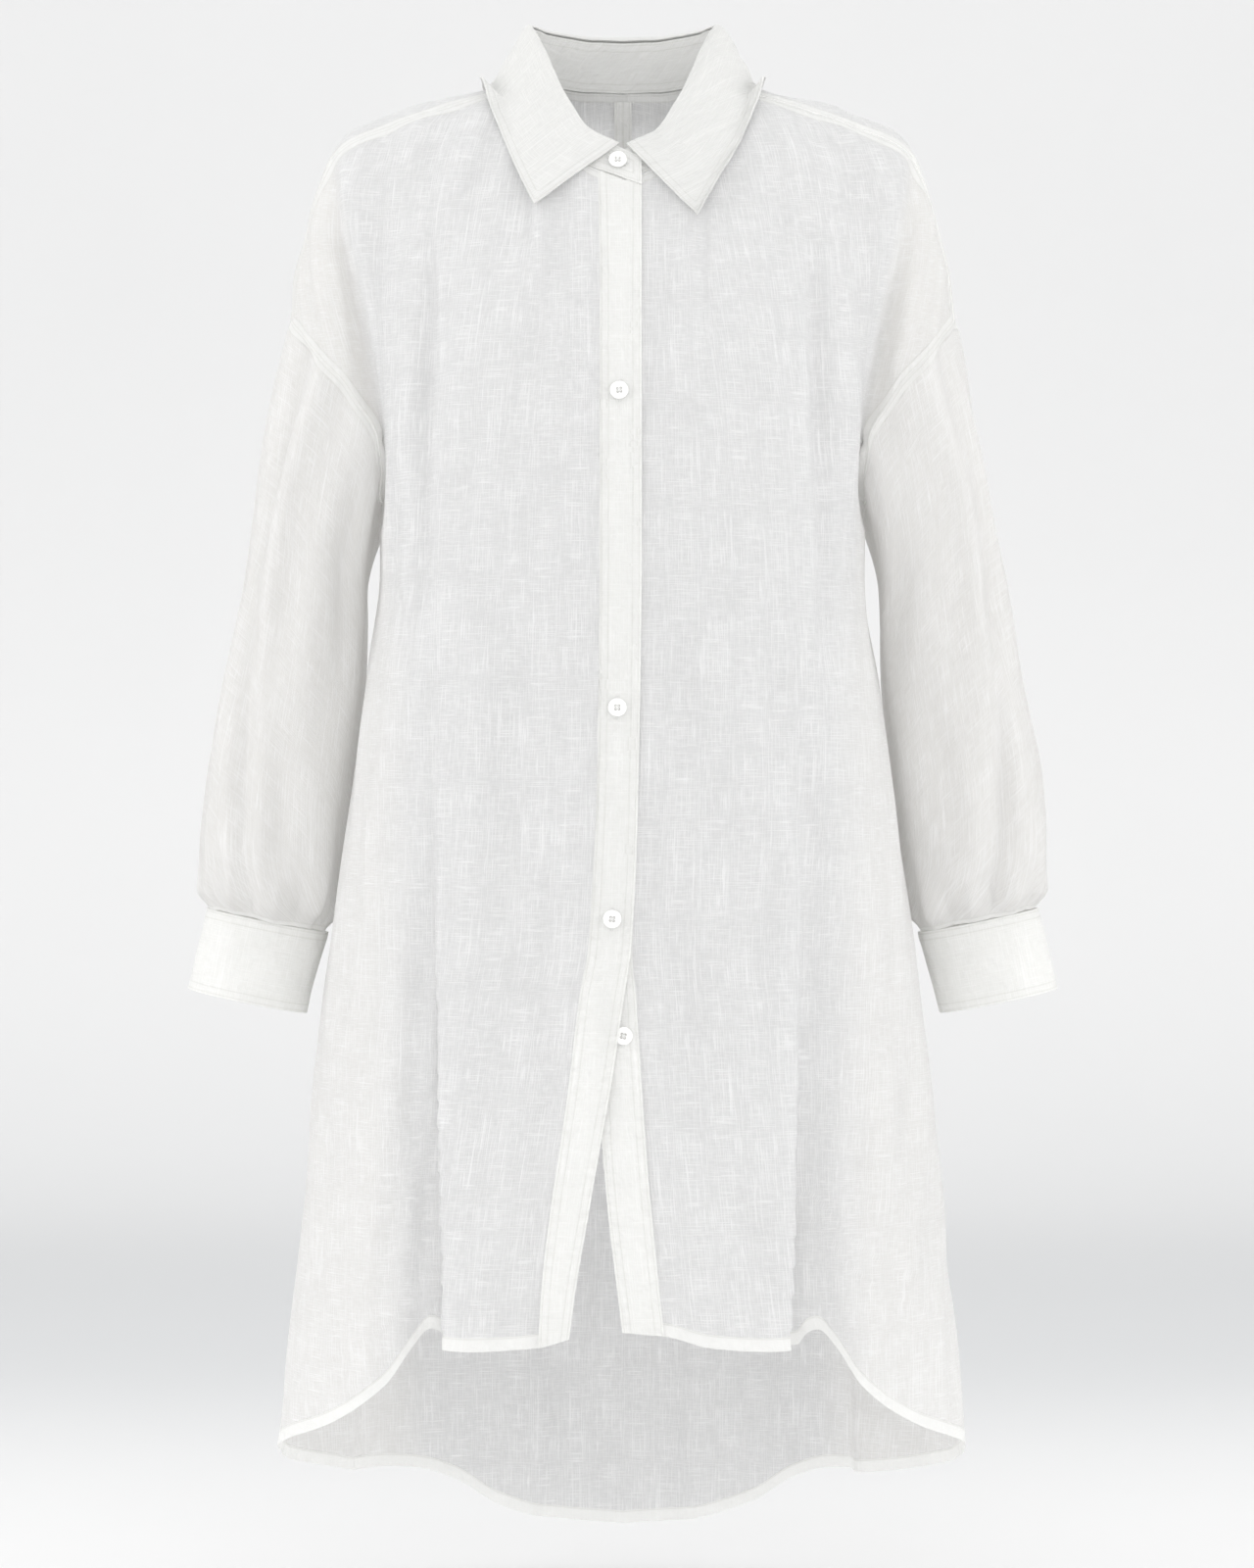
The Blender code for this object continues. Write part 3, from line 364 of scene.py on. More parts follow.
def resample(nodes, count):
    """count + 1 points at even distances on a smooth curve through the nodes."""
    nodes = np.asarray(nodes, float)
    chord = np.r_[0, np.cumsum(np.linalg.norm(np.diff(nodes, axis=0), axis=1))]
    fine = np.linspace(0, chord[-1], 4 * count + 400)
    table = np.c_[chord, nodes]
    path = np.stack([read(table, k + 1, fine) for k in range(nodes.shape[1])], axis=-1)
    length = np.r_[0, np.cumsum(np.linalg.norm(np.diff(path, axis=0), axis=1))]
    even = np.linspace(0, length[-1], count + 1)
    return np.stack([np.interp(even, length, path[:, k]) for k in range(nodes.shape[1])], axis=-1)


def oval(x, y, half, front, back):
    """Distance out of the level section (|x|/half)^n + (|y|/depth)^n = 1."""
    x = x + 1e-9
    depth = np.where(y < 0, front, back)
    size = (np.abs(x) / half) ** SQUARENESS + (np.abs(y) / depth) ** SQUARENESS
    size = size ** (1 / SQUARENESS)
    radius = np.hypot(x, y)
    return radius - radius / size


def fold_depth(x, y, z):
    """Sum of depth * fall^1.4 * exp(-(bearing - centre)^2 / width^2) over the hanging folds."""
    bearing = np.degrees(np.arctan2(x, -y))
    total = 0.0
    for top_bearing, hem_bearing, top, near, far, depth in FOLDS:
        fall = np.clip((top - z) / (top + 1.0), 0, 1)
        centre = top_bearing + (hem_bearing - top_bearing) * fall
        turn = (bearing - centre + 180) % 360 - 180
        width = np.where(turn * np.sign(top_bearing) < 0, near, far)
        total = total + depth * fall ** 1.4 * np.exp(-(turn / width) ** 2)
    return total


def worn_form(points):
    """Distance out of the form: a smooth minimum of trunk and arm, each capped at its top."""
    x, y, z = points[..., 0], points[..., 1], points[..., 2]
    trunk = oval(x, y, *(read(TRUNK, k, z) for k in (1, 2, 3))) - fold_depth(x, y, z)
    outer, inner = read(ARM, 1, z), read(ARM, 2, z)
    front, back = read(ARM, 3, z), read(ARM, 4, z)
    middle = 0.5 * (front + back)
    arm = oval(np.abs(x) - 0.5 * (outer + inner), y - middle, 0.5 * (outer - inner),
               middle - front, back - middle)
    past = np.maximum(0.8 * (np.abs(x) - read(ARM_END, 1, z)), 2 * (z - ARM[-1, 0]))
    arm = np.maximum(arm, past) + np.maximum(0.006 - np.abs(arm - past), 0) ** 2 / 0.024
    soft = read(JOINING, 1, z)
    trunk = np.maximum(trunk, z - TRUNK[-1, 0])
    return np.minimum(trunk, arm) - np.maximum(soft - np.abs(trunk - arm), 0) ** 2 / (4 * soft)


def cast(origin, direction, reach=0.36, steps=32):
    """Where each ray origin + t * direction first leaves the form, by halving an interval of t."""
    t = np.linspace(0.004, reach, steps)
    line = origin[..., None, :] + direction[..., None, :] * t[:, None]
    first = np.clip((worn_form(line) > 0).argmax(axis=-1), 1, steps - 1)
    low, high = t[first - 1], t[first]
    for _ in range(16):
        middle = 0.5 * (low + high)
        out = worn_form(origin + direction * middle[..., None]) > 0
        low, high = np.where(out, low, middle), np.where(out, middle, high)
    return origin + direction * low[..., None]


def outward(points):
    """Unit gradient of worn_form by central differences."""
    step = 0.0006
    slope = np.stack([worn_form(points + step * axis) - worn_form(points - step * axis)
                      for axis in np.eye(3)], axis=-1)
    return unit(slope)


def body_point(place, side):
    """Point of the form at (around, height): a level ray from the core line,
    straight ahead along its length and turning (around - CORE) / TURN at its end."""
    around, height = place[..., 0], place[..., 1]
    turn = np.clip((around - CORE) / TURN, 0, math.pi)
    start = np.where(around < CORE, around, np.minimum(CORE, AROUND - around))
    origin = np.stack([side * start, 0 * height, height], axis=-1)
    direction = np.stack([side * np.sin(turn), -np.cos(turn), 0 * turn], axis=-1)
    return cast(origin, direction)


def body_place(points, side):
    """The inverse of body_point for points on the form."""
    x, y = side * points[..., 0], points[..., 1]
    turn = np.arctan2(x - CORE, -y)
    around = np.where(x > CORE, CORE + TURN * turn, np.where(y < 0, x, AROUND - x))
    return np.stack([around, points[..., 2]], axis=-1)


def front_point(places, side):
    """Front points whose distance around may be past the middle line: rays towards -Y."""
    around, height = places[..., 0], places[..., 1]
    origin = np.stack([side * around, 0 * height, height], axis=-1)
    direction = np.zeros_like(origin)
    direction[..., 1] = -1.0
    return cast(origin, direction)


def crown_point(place, side):
    """Point of the form at (bearing from the back, elevation), a ray from the heart."""
    bearing, rise = place[..., 0], place[..., 1]
    direction = np.stack([side * np.sin(bearing) * np.cos(rise), np.cos(bearing) * np.cos(rise),
                          np.sin(rise)], axis=-1)
    origin = np.zeros_like(direction)
    origin[..., 2] = HEART
    return cast(origin, direction)


def crown_place(points, side):
    """The inverse of crown_point."""
    x, y, z = side * points[..., 0], points[..., 1], points[..., 2] - HEART
    return np.stack([np.arctan2(x, y), np.arctan2(z, np.hypot(x, y))], axis=-1)


def crown_seam(nodes, side, count):
    """A seam through the nodes, put on the form along rays from the heart."""
    points = resample(nodes, count) * (side, 1, 1)
    return crown_point(crown_place(points, side), side)


def level_seam(nodes, side, count):
    """A seam through the nodes, put on the form along level rays."""
    points = resample(nodes, count) * (side, 1, 1)
    return body_point(body_place(points, side), side)


def hem_height(around):
    """Height of the hem at a distance around."""
    return read(HEM, 1, around)


def side_seams(side):
    """Seams of one side that two pieces share, as points on the form."""
    arm_front = level_seam(ARMHOLE_FRONT, side, N_ARM_FRONT)
    arm_back = level_seam(ARMHOLE_BACK, side, N_ARM_BACK)
    arm_top = level_seam(ARMHOLE_TOP, side, N_ARM_TOP)
    yoke_front = crown_seam(YOKE_FRONT, side, N_YOKE_FRONT)
    yoke_back = crown_seam(YOKE_BACK, side, N_YOKE_BACK)
    arm_top[0] = arm_back[-1]
    arm_top[-1] = arm_front[0]
    yoke_front[-1] = arm_front[0]
    yoke_back[-1] = arm_back[-1]
    underarm = body_place(arm_front[-1:], side)[0]
    heights = np.linspace(hem_height(underarm[0]), underarm[1], N_SIDE + 1)
    seam = body_point(np.stack([np.full(N_SIDE + 1, underarm[0]), heights], axis=-1), side)
    seam[-1] = arm_front[-1]
    arm_back[0] = arm_front[-1]
    return {"arm_front": arm_front, "arm_back": arm_back, "arm_top": arm_top,
            "yoke_front": yoke_front, "yoke_back": yoke_back, "side": seam}


def fill(bottom, top, left, right, hold=4.0):
    """Places between four edges: (1 - u) * left + u * right, plus the bottom's own
    shape times (1 - v)^1.5 and the top's own shape times v^hold."""
    u = np.linspace(0, 1, len(bottom))[:, None]
    v = np.linspace(0, 1, len(left))[:, None, None]
    rows = (1 - u) * left[:, None] + u * right[:, None]
    low = bottom - (1 - u) * bottom[0] - u * bottom[-1]
    high = top - (1 - u) * top[0] - u * top[-1]
    return rows + (1 - v) ** 1.5 * low + v ** hold * high


def creases(around, height, rows):
    """Sum of depth * exp(-(d / width)^2) * sin(pi * s)^0.7 over line creases, where d is
    the distance from the crease's line and s the share of the way along it."""
    total = np.zeros_like(around)
    for a0, h0, a1, h1, width, depth in rows:
        run = np.array([a1 - a0, h1 - h0])
        length = np.hypot(*run)
        run = run / length
        along = ((around - a0) * run[0] + (height - h0) * run[1]) / length
        across = (around - a0) * run[1] - (height - h0) * run[0]
        taper = np.sin(math.pi * np.clip(along, 0, 1)) ** 0.7
        total += depth * taper * np.exp(-(across / width) ** 2)
    return total


def unrest(u, v, seed, amount, wide=0.055, tall=0.20):
    """Uneven hang of the cloth: a sum of sixteen sine waves of mixed length and direction."""
    chance = np.random.default_rng(seed)
    total = np.zeros_like(u)
    for _ in range(16):
        across, along = chance.uniform(0.6, 1.8) * wide, chance.uniform(0.6, 2.0) * tall
        slanted = chance.choice([-1, 1]) * v / along
        total += np.sin(2 * math.pi * (u / across + slanted + chance.random()))
    return total * amount / 4


def run_in(grid, axis, closed_end):
    """Distance along the cloth from one end of a grid's rows (axis 1) or columns (axis 0)."""
    steps = np.linalg.norm(np.diff(grid, axis=axis), axis=-1)
    start = np.zeros_like(grid[..., 0])
    if axis == 1:
        start[:, 1:] = np.cumsum(steps, axis=1)
    else:
        start[1:] = np.cumsum(steps, axis=0)
    if closed_end:
        last = start[:, -1:] if axis == 1 else start[-1:]
        start = last - start
    return start


def grid_normals(grid):
    """Unit normals of a grid: across its rows times up its columns."""
    return unit(np.cross(np.gradient(grid, axis=1), np.gradient(grid, axis=0)))


def facing_out(grid, row):
    """The normals of a grid that runs round a limb, turned away from its middle."""
    normals = grid_normals(grid)
    away = grid[row] - grid[row].mean(axis=0)
    return -normals if np.sum(normals[row] * away) < 0 else normals


def from_edges(grid, *ends):
    """Distance along the cloth to the nearest of some ends, each (axis, far end)."""
    return np.minimum.reduce([run_in(grid, axis, far) for axis, far in ends])


FIRST_COLUMN, LAST_COLUMN, FIRST_ROW, LAST_ROW = (1, False), (1, True), (0, False), (0, True)
NO_HEM = 1.0


def quads_of(at):
    """Faces between the neighbours of a grid of point numbers."""
    corners = [at[:-1, :-1], at[:-1, 1:], at[1:, 1:], at[1:, :-1]]
    return np.stack(corners, axis=-1).reshape(-1, 4)


def put_in_scene(name, data):
    """A new object that shows some data."""
    made = bpy.data.objects.new(name, data)
    bpy.context.collection.objects.link(made)
    return made


def wear(piece, node):
    """Tie a piece to the body's root and hide the solid that it stands for."""
    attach(piece, "root")
    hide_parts(node)


def sew(name, outer, normals, thickness, weave, seam, hem, finish, close=0.0):
    """Thin closed wall from a grid and its normals.  The weave (two lengths in metres) becomes the
    UV map, and the distances in millimetres to the nearest seam and hem become attributes, with a
    share of painted light (0 to 1) that lightens the cloth where other cloth lies behind it."""
    rows, columns = outer.shape[:2]
    size = rows * columns
    inner = outer - normals * thickness
    points = np.concatenate([outer.reshape(-1, 3), inner.reshape(-1, 3)])
    at = np.arange(size).reshape(rows, columns)
    quads = quads_of(at)
    loop = np.concatenate([at[0, :-1], at[:-1, -1], at[-1, :0:-1], at[:0:-1, 0]])
    ahead = np.roll(loop, -1)
    border = np.stack([ahead, loop, size + loop, size + ahead], axis=-1)
    faces = np.concatenate([quads, size + quads[:, ::-1], border])
    facing = np.einsum("ij,ij->i", np.cross(points[quads[:, 1]] - points[quads[:, 0]],
                                            points[quads[:, 3]] - points[quads[:, 0]]),
                       normals.reshape(-1, 3)[quads[:, 0]])
    if facing.sum() < 0:
        faces = faces[:, ::-1]
    mesh = bpy.data.meshes.new(name)
    mesh.from_pydata(points.tolist(), [], faces.tolist())
    mesh.update()
    place = np.tile(weave.reshape(-1, 2), (2, 1))
    loops = np.empty(len(mesh.loops), dtype=np.int32)
    mesh.loops.foreach_get("vertex_index", loops)
    mesh.uv_layers.new(name="weave").data.foreach_set("uv", place[loops].ravel())
    for word, values in (("seam", 1000 * seam), ("hem", 1000 * hem), ("close", close)):
        marks = mesh.attributes.new(word, "FLOAT", "POINT")
        values = np.broadcast_to(values, seam.shape)
        marks.data.foreach_set("value", np.tile(values.ravel(), 2))
    mesh.materials.append(finish)
    mesh.shade_smooth()
    mesh.set_sharp_from_angle(angle=math.radians(70))
    return put_in_scene(name, mesh)


def linear(code):
    """sRGB hex to linear: ((c + 0.055) / 1.055)^2.4 above 0.04045, else c / 12.92."""
    parts = [int(code[i:i + 2], 16) / 255 for i in (1, 3, 5)]
    parts = [((c + 0.055) / 1.055) ** 2.4 if c > 0.04045 else c / 12.92 for c in parts]
    return (*parts, 1.0)


def put(tree, kind, settings=None, sockets=None):
    """Add one node with its settings; a socket's value is a constant or a (node, output) link."""
    node = tree.nodes.new(kind)
    for word, value in (settings or {}).items():
        setattr(node, word, value)
    for word, value in (sockets or {}).items():
        if isinstance(value, tuple) and isinstance(value[0], bpy.types.Node):
            tree.links.new(value[0].outputs[value[1]], node.inputs[word])
        else:
            node.inputs[word].default_value = value
    return node


def blend(tree, share, low, high, kind="MIX"):
    """Mix two colours; its own colour is output 2."""
    return put(tree, "ShaderNodeMix", {"data_type": "RGBA", "blend_type": kind},
               {0: share, 6: low, 7: high})


def reckon(tree, kind, *values, clamped=False):
    """One maths node over two or three values."""
    return put(tree, "ShaderNodeMath", {"operation": kind, "use_clamp": clamped},
               dict(enumerate(values)))


def ramp(tree, value, start, stop, top=1.0, kind="LINEAR"):
    """0 to top while a value runs from start to stop."""
    return put(tree, "ShaderNodeMapRange", {"interpolation_type": kind},
               {"Value": value, "From Min": start, "From Max": stop, "To Max": top})


def mark(tree, word):
    """An attribute of the mesh; its number is output 2."""
    return put(tree, "ShaderNodeAttribute", {"attribute_name": word})


def noise_of(tree, vector, scale, detail, flat=True):
    """Noise at a scale, over two coordinates where it is flat."""
    return put(tree, "ShaderNodeTexNoise", {"noise_dimensions": "2D" if flat else "3D"},
               {"Vector": vector, "Scale": scale, "Detail": detail})


def new_finish(name):
    """A material with its node tree and its Principled shader."""
    made = bpy.data.materials.new(name)
    made.use_nodes = True
    return made, made.node_tree, made.node_tree.nodes["Principled BSDF"]


def set_inputs(node, values):
    """Set constant inputs of a node by name."""
    for word, value in values.items():
        node.inputs[word].default_value = value


# Slub linen, plain woven from uneven flax threads and washed.  It is white and half sheer: the
# ground reads grey because the dark inside shows through, thick slubs are whiter, and doubled cloth
# is whiter still and denser.  Where other cloth lies behind, the ground is given a lighter, warmer
# colour as painted light, standing for the light that comes through from that cloth.
SLUB_WIDTH, SLUB_LENGTH = 0.00062, 0.024
GRAIN_WIDTH, GRAIN_LENGTH = 0.0009, 0.0080
CLOUD_SCALE, PUCKER_SCALE = 38.0, 150.0
SLUB_SHARE, GRAIN_SHARE, CLOUD_SHARE = 0.50, 0.16, 0.16
THREAD_RELIEF, STITCH_RELIEF, PUCKER_RELIEF = 0.00022, 0.00012, 0.0012
STITCH_TONE = "#F7F7F6"
# In millimetres, as the distances to seam and hem are.  A hem band below 0 is none.
HEM_BAND, NO_BAND = 10.0, -50.0
SEAM_ALLOWANCE, FALL_ALLOWANCE = 7.0, 6.8
BAND_EDGE = 0.8


def linen(name, colours, thickly, sheerness, hem_band=HEM_BAND, allowance=SEAM_ALLOWANCE):
    """Woven linen.  Threads both ways are noise stretched along each thread, slubs are
    its highest part, and seam and hem distances whiten and pucker the doubled cloth.
    The colours are those of the ground, the ground with painted light where other cloth lies
    behind, its slubs, the doubled ground and its slubs."""
    ground, painted_backlit_ground, slub, doubled, dense_slub = map(linear, colours)
    made, tree, shader = new_finish(name)
    weave = put(tree, "ShaderNodeUVMap", {"uv_map": "weave"})

    def threads(width, length, across, low, high, shift):
        size = (1 / width, 1 / length, 1.0) if across else (1 / length, 1 / width, 1.0)
        laid = put(tree, "ShaderNodeMapping", None,
                   {"Vector": (weave, 0), "Location": (shift, shift, 0), "Scale": size})
        return ramp(tree, (noise_of(tree, (laid, 0), 1.0, 1.0), 0), low, high, kind="SMOOTHSTEP")

    def highest(*values):
        best = values[0]
        for value in values[1:]:
            best = (reckon(tree, "MAXIMUM", best, value), 0)
        return best

    warp = threads(SLUB_WIDTH, SLUB_LENGTH, True, 0.56, 0.70, 3.0)
    weft = threads(SLUB_WIDTH, SLUB_LENGTH, False, 0.57, 0.70, 7.0)
    long_warp = threads(SLUB_WIDTH * 1.5, SLUB_LENGTH * 3, True, 0.62, 0.72, 13.0)
    grain_warp = threads(GRAIN_WIDTH, GRAIN_LENGTH, True, 0.30, 0.70, 23.0)
    grain_weft = threads(GRAIN_WIDTH, GRAIN_LENGTH, False, 0.30, 0.70, 31.0)
    slubs = highest((warp, 0), (weft, 0), (long_warp, 0))
    grain = reckon(tree, "ADD", (grain_warp, 0), (grain_weft, 0))
    cloud = noise_of(tree, (weave, 0), CLOUD_SCALE, 2.0)
    light = reckon(tree, "MULTIPLY", (grain, 0), GRAIN_SHARE)
    light = reckon(tree, "MULTIPLY_ADD", slubs, SLUB_SHARE, (light, 0))
    light = reckon(tree, "MULTIPLY_ADD", (cloud, 0), CLOUD_SHARE, (light, 0), clamped=True)
    # Painted light: where other cloth lies behind, the ground turns to a lighter, warmer colour
    # that stands for light coming through from that cloth.
    ground_with_painted_light = blend(tree, (mark(tree, "close"), 2), ground, painted_backlit_ground)
    plain = blend(tree, (light, 0), (ground_with_painted_light, 2), slub)
    dense = blend(tree, (light, 0), doubled, dense_slub)

    hem, seam = (mark(tree, "hem"), 2), (mark(tree, "seam"), 2)
    masked = highest((ramp(tree, hem, hem_band, hem_band - BAND_EDGE), 0),
                     (ramp(tree, seam, allowance, allowance - BAND_EDGE, top=0.85), 0), thickly)
    colour = blend(tree, masked, (plain, 2), (dense, 2))

    # Rows of stitches: just inside the hem's inner edge, beside the seam, and just
    # inside the allowance's edge.
    rows = []
    for distance, at in ((hem, hem_band - 1.4), (seam, 1.6), (seam, allowance - 0.8)):
        away = reckon(tree, "ABSOLUTE", (reckon(tree, "SUBTRACT", distance, at), 0))
        rows.append((ramp(tree, (away, 0), 0.7, 0.2), 0))
    sewn = highest(*rows)
    colour = blend(tree, sewn, (colour, 2), linear(STITCH_TONE), "MULTIPLY")

    # Relief: threads, the stitched dents, and small puckers where cloth is doubled.
    pucker = noise_of(tree, (weave, 0), PUCKER_SCALE, 1.0)
    puckered = reckon(tree, "MULTIPLY", (pucker, 0), masked)
    relief = reckon(tree, "MULTIPLY", (light, 0), THREAD_RELIEF)
    relief = reckon(tree, "MULTIPLY_ADD", sewn, -STITCH_RELIEF, (relief, 0))
    relief = reckon(tree, "MULTIPLY_ADD", (puckered, 0), PUCKER_RELIEF, (relief, 0))
    bump = put(tree, "ShaderNodeBump", None,
               {"Height": (relief, 0), "Distance": 1.0, "Strength": 0.75})
    tree.links.new(colour.outputs[2], shader.inputs["Base Color"])
    tree.links.new(bump.outputs[0], shader.inputs["Normal"])
    through = put(tree, "ShaderNodeBsdfTranslucent", None,
                  {"Color": (colour, 2), "Normal": (bump, 0)})
    sheer = put(tree, "ShaderNodeMixShader", None, {0: sheerness, 1: (shader, 0), 2: (through, 0)})
    tree.links.new(sheer.outputs[0], tree.nodes["Material Output"].inputs["Surface"])
    set_inputs(shader, {"Roughness": 0.88, "IOR": 1.53, "Specular IOR Level": 0.25,
                        "Sheen Weight": 0.12, "Sheen Roughness": 0.5})
    return made


single_linen = linen("single slub linen", ("#E7E7E7", "#F0EFED", "#FFFFFF", "#FAFAF9", "#FEFEFD"),
                     thickly=0.0, sheerness=0.58)
doubled_linen = linen("doubled slub linen", ("#F1F1EF", "#F1F1EF", "#FBFBFA", "#F1F1EF", "#FBFBFA"),
                      thickly=1.0, sheerness=0.40, hem_band=NO_BAND)

seams = {side: side_seams(side) for side in (-1, 1)}
SIDE_WORD = {-1: "right", 1: "left"}


def front_grid(side, centre_column):
    """Places of one front between band seam, hem, side seam, armhole, yoke and neck."""
    s = seams[side]
    right = np.concatenate([s["side"][:-1], s["arm_front"][::-1]])
    start = read(BANDS, centre_column, BANDS[-1, 0])
    corner = (abs(start), CORNER_DEPTH, read(NECK_FRONT, 2, abs(start)))
    neck = crown_seam(np.vstack([corner, NECK_FRONT[2:]]), side, N_NECK_FRONT)
    rows = len(right)
    low = np.linspace(LOW_ROW, UNDERARM_ROW, N_SIDE + 1)
    high = np.linspace(UNDERARM_ROW, corner[2], rows - N_SIDE)
    heights = np.r_[low[:-1], high]
    heights[0] = hem_height(side * read(BANDS, centre_column, heights[0]))
    heights[:N_SIDE] = np.linspace(heights[0], heights[N_SIDE], N_SIDE + 1)[:-1]
    left = np.stack([side * read(BANDS, centre_column, heights), heights], axis=-1)
    top = body_place(np.concatenate([neck[:-1], s["yoke_front"]]), side)
    top[0] = left[-1]
    right = body_place(right, side)
    around = np.linspace(left[0, 0], right[0, 0], len(top))
    bottom = np.stack([around, hem_height(around)], axis=-1)
    bottom[0], bottom[-1] = left[0], right[0]
    return fill(bottom, top, left, right)


def front_lift(around, height):
    """Lift of the top front: the table's lift, easing in from LIFT_FROM to LIFT_FULL."""
    return ease((LIFT_FROM - around) / (LIFT_FROM - LIFT_FULL)) * read(LIFT, 1, height)


def beyond_edge(points):
    """Distance out past the edge of the body's front, and how far its fold has opened (0 to 1)."""
    past = np.abs(points[..., 0]) - read(BODY_EDGE, 1, points[..., 2])
    along = (points[..., 2] - BODY_EDGE[0, 0]) / (BODY_EDGE[-1, 0] - BODY_EDGE[0, 0])
    return past, np.sin(math.pi * np.clip(along, 0, 1)) ** 0.6


def painted_light_share(points):
    """Share of painted light, standing for light from other cloth that lies behind: 1 on the arm,
    less on the flared side.
    """
    past, _ = beyond_edge(points)
    high = np.clip((points[..., 2] + 0.40) / 0.08, 0, 1)
    arm = np.clip((past + 0.004) / 0.010, 0, 1)
    side = 0.7 * np.clip((np.abs(points[..., 0]) - 0.145) / 0.030, 0, 1)
    return high * arm + (1 - high) * side


def held_at(distance, over=0.008):
    """0 at a seam, easing to 1 over a short way from it."""
    return ease(distance / over)


band_edges = {}
for side, column, seed, flat, area in ((-1, 1, 11, (0.383, 0.989), 0.236),
                                       (1, 4, 12, (0.390, 0.989), 0.245)):
    places = front_grid(side, column)
    band_edges[side] = places[:, 0]
    surface = body_point(places, side)
    normals = outward(surface)
    hem = run_in(surface, 0, False)
    across = run_in(surface, 1, False)
    seam = from_edges(surface, LAST_COLUMN, LAST_ROW)
    push = creases(places[..., 0], places[..., 1], FRONT_CREASES[side])
    past, opened = beyond_edge(surface)
    for place, width, depth in EDGE_FOLD:
        push = push + depth * opened * np.exp(-((past - place) / width) ** 2)
    push = push + unrest(across, places[..., 1], seed, 0.0012)
    push = push * held_at(np.minimum(across, seam))
    if side < 0:
        push = push + front_lift(places[..., 0], places[..., 1])
    surface = surface + normals * push[..., None]
    weave = np.stack([across + 0.7 * side, places[..., 1] + 0.3 * side], axis=-1)
    piece = sew("linen_front_" + SIDE_WORD[side], surface, grid_normals(surface), CLOTH, weave,
                seam, hem, single_linen, close=painted_light_share(surface))
    wear(piece, "front_" + SIDE_WORD[side])


# Front bands.  The wearer's right front ends in a band folded double and stitched
# along both edges, with the buttonholes; the one under it carries the buttons.
# Washing has drawn the stitched edges into small ripples.
BAND_COLUMNS, BAND_ROWS = 17, 420
# Height from which a band's rows turn to the collar seam, the way over which they do,
# and their slope there; then the same, downwards, for the hem.
NECK_TURN, NECK_OVER, NECK_SLOPE = -0.30, 0.24, 0.38
HEM_TURN, HEM_OVER = -0.80, 0.08


def band_grid(side, left, edge_column):
    """Places of a band: straight across from the panel's edge to the band's edge,
    lowered at the neck to lie along the collar seam."""
    heights = left[:, 1]
    outer_x = side * read(BANDS, edge_column, heights)
    around = left[:, :1] + (outer_x - left[:, 0])[:, None] * np.linspace(0, 1, BAND_COLUMNS)
    height = np.repeat(heights[:, None], BAND_COLUMNS, axis=1)
    drop = np.clip((height - NECK_TURN) / NECK_OVER, 0, 1) ** 3
    height = height - drop * NECK_SLOPE * np.abs(around - left[:, :1])
    rise = np.clip((HEM_TURN - height) / HEM_OVER, 0, 1)
    height = height + rise * (hem_height(around) - hem_height(left[:, :1]))
    return np.stack([around, height], axis=-1)


for side, column, seed in ((-1, 2, 21), (1, 3, 22)):
    places = band_grid(side, resample(band_edges[side], BAND_ROWS), column)
    surface = front_point(places, side)
    normals = outward(surface)
    across = run_in(surface, 1, False)
    edge = from_edges(surface, FIRST_COLUMN, LAST_COLUMN)
    lift = read(LIFT, 1, places[..., 1]) if side < 0 else 0 * across
    ripple = unrest(across, places[..., 1], seed, 0.00035, wide=0.05, tall=0.008)
    ripple = ripple * np.exp(-((edge - 0.004) / 0.004) ** 2)
    soft = unrest(across, places[..., 1], seed + 5, 0.0004, wide=0.06, tall=0.05)
    surface = surface + normals * (lift + 0.0004 + ripple + soft)[..., None]
    weave = np.stack([across, places[..., 1]], axis=-1)
    hem = run_in(surface, 0, False)
    piece = sew("linen_band_" + SIDE_WORD[side], surface, grid_normals(surface), DOUBLED, weave,
                edge, hem, doubled_linen)
    wear(piece, "placket_" + SIDE_WORD[side])


# Back.  One wide panel from the yoke to the long curved hem, hanging in deep
# rounded folds from below the shoulder blades.
BACK_CREASES = [
    (0.300, -0.150, 0.310, -0.300, 0.0100, -0.0020),
    (0.470, -0.130, 0.470, -0.520, 0.0160, -0.0020),
    (0.530, -0.100, 0.545, -0.420, 0.0110, 0.0012),
    (0.420, -0.200, 0.415, -0.620, 0.0130, -0.0020),
    (0.375, -0.330, 0.372, -0.900, 0.0130, 0.0022),
    (0.505, -0.480, 0.512, -1.000, 0.0150, -0.0024),
    (0.330, -0.420, 0.320, -0.940, 0.0120, -0.0022),
]

halves = []
for side in (-1, 1):
    s = seams[side]
    right = body_place(np.concatenate([s["side"][:-1], s["arm_back"]]), side)
    top = body_place(s["yoke_back"], side)
    around = np.linspace(AROUND, right[0, 0], len(top))
    bottom = np.stack([around, hem_height(around)], axis=-1)
    low = np.linspace(bottom[0, 1], BACK_ROW, N_SIDE + 1)
    height = np.r_[low[:-1], np.linspace(BACK_ROW, top[0, 1], len(right) - N_SIDE)]
    left = np.stack([np.full(len(right), AROUND), height], axis=-1)
    bottom[-1] = right[0]
    places = fill(bottom, top, left, right)
    push = creases(places[..., 0], places[..., 1], BACK_CREASES)
    halves.append((body_point(places, side), places, push))
surface, places, push = (halves_of(*pair) for pair in zip(*halves))
height = places[..., 1]
across = run_in(surface, 1, False)
across = across - across[:, across.shape[1] // 2][:, None]
hem = run_in(surface, 0, False)
seam = from_edges(surface, FIRST_COLUMN, LAST_COLUMN, LAST_ROW)
push = (push + unrest(across, height, 31, 0.0010)) * held_at(seam)
surface = surface + outward(surface) * push[..., None]
piece = sew("linen_back", surface, grid_normals(surface), CLOTH,
            np.stack([across, height], axis=-1), seam, hem, single_linen, close=painted_light_share(surface))
wear(piece, "back")


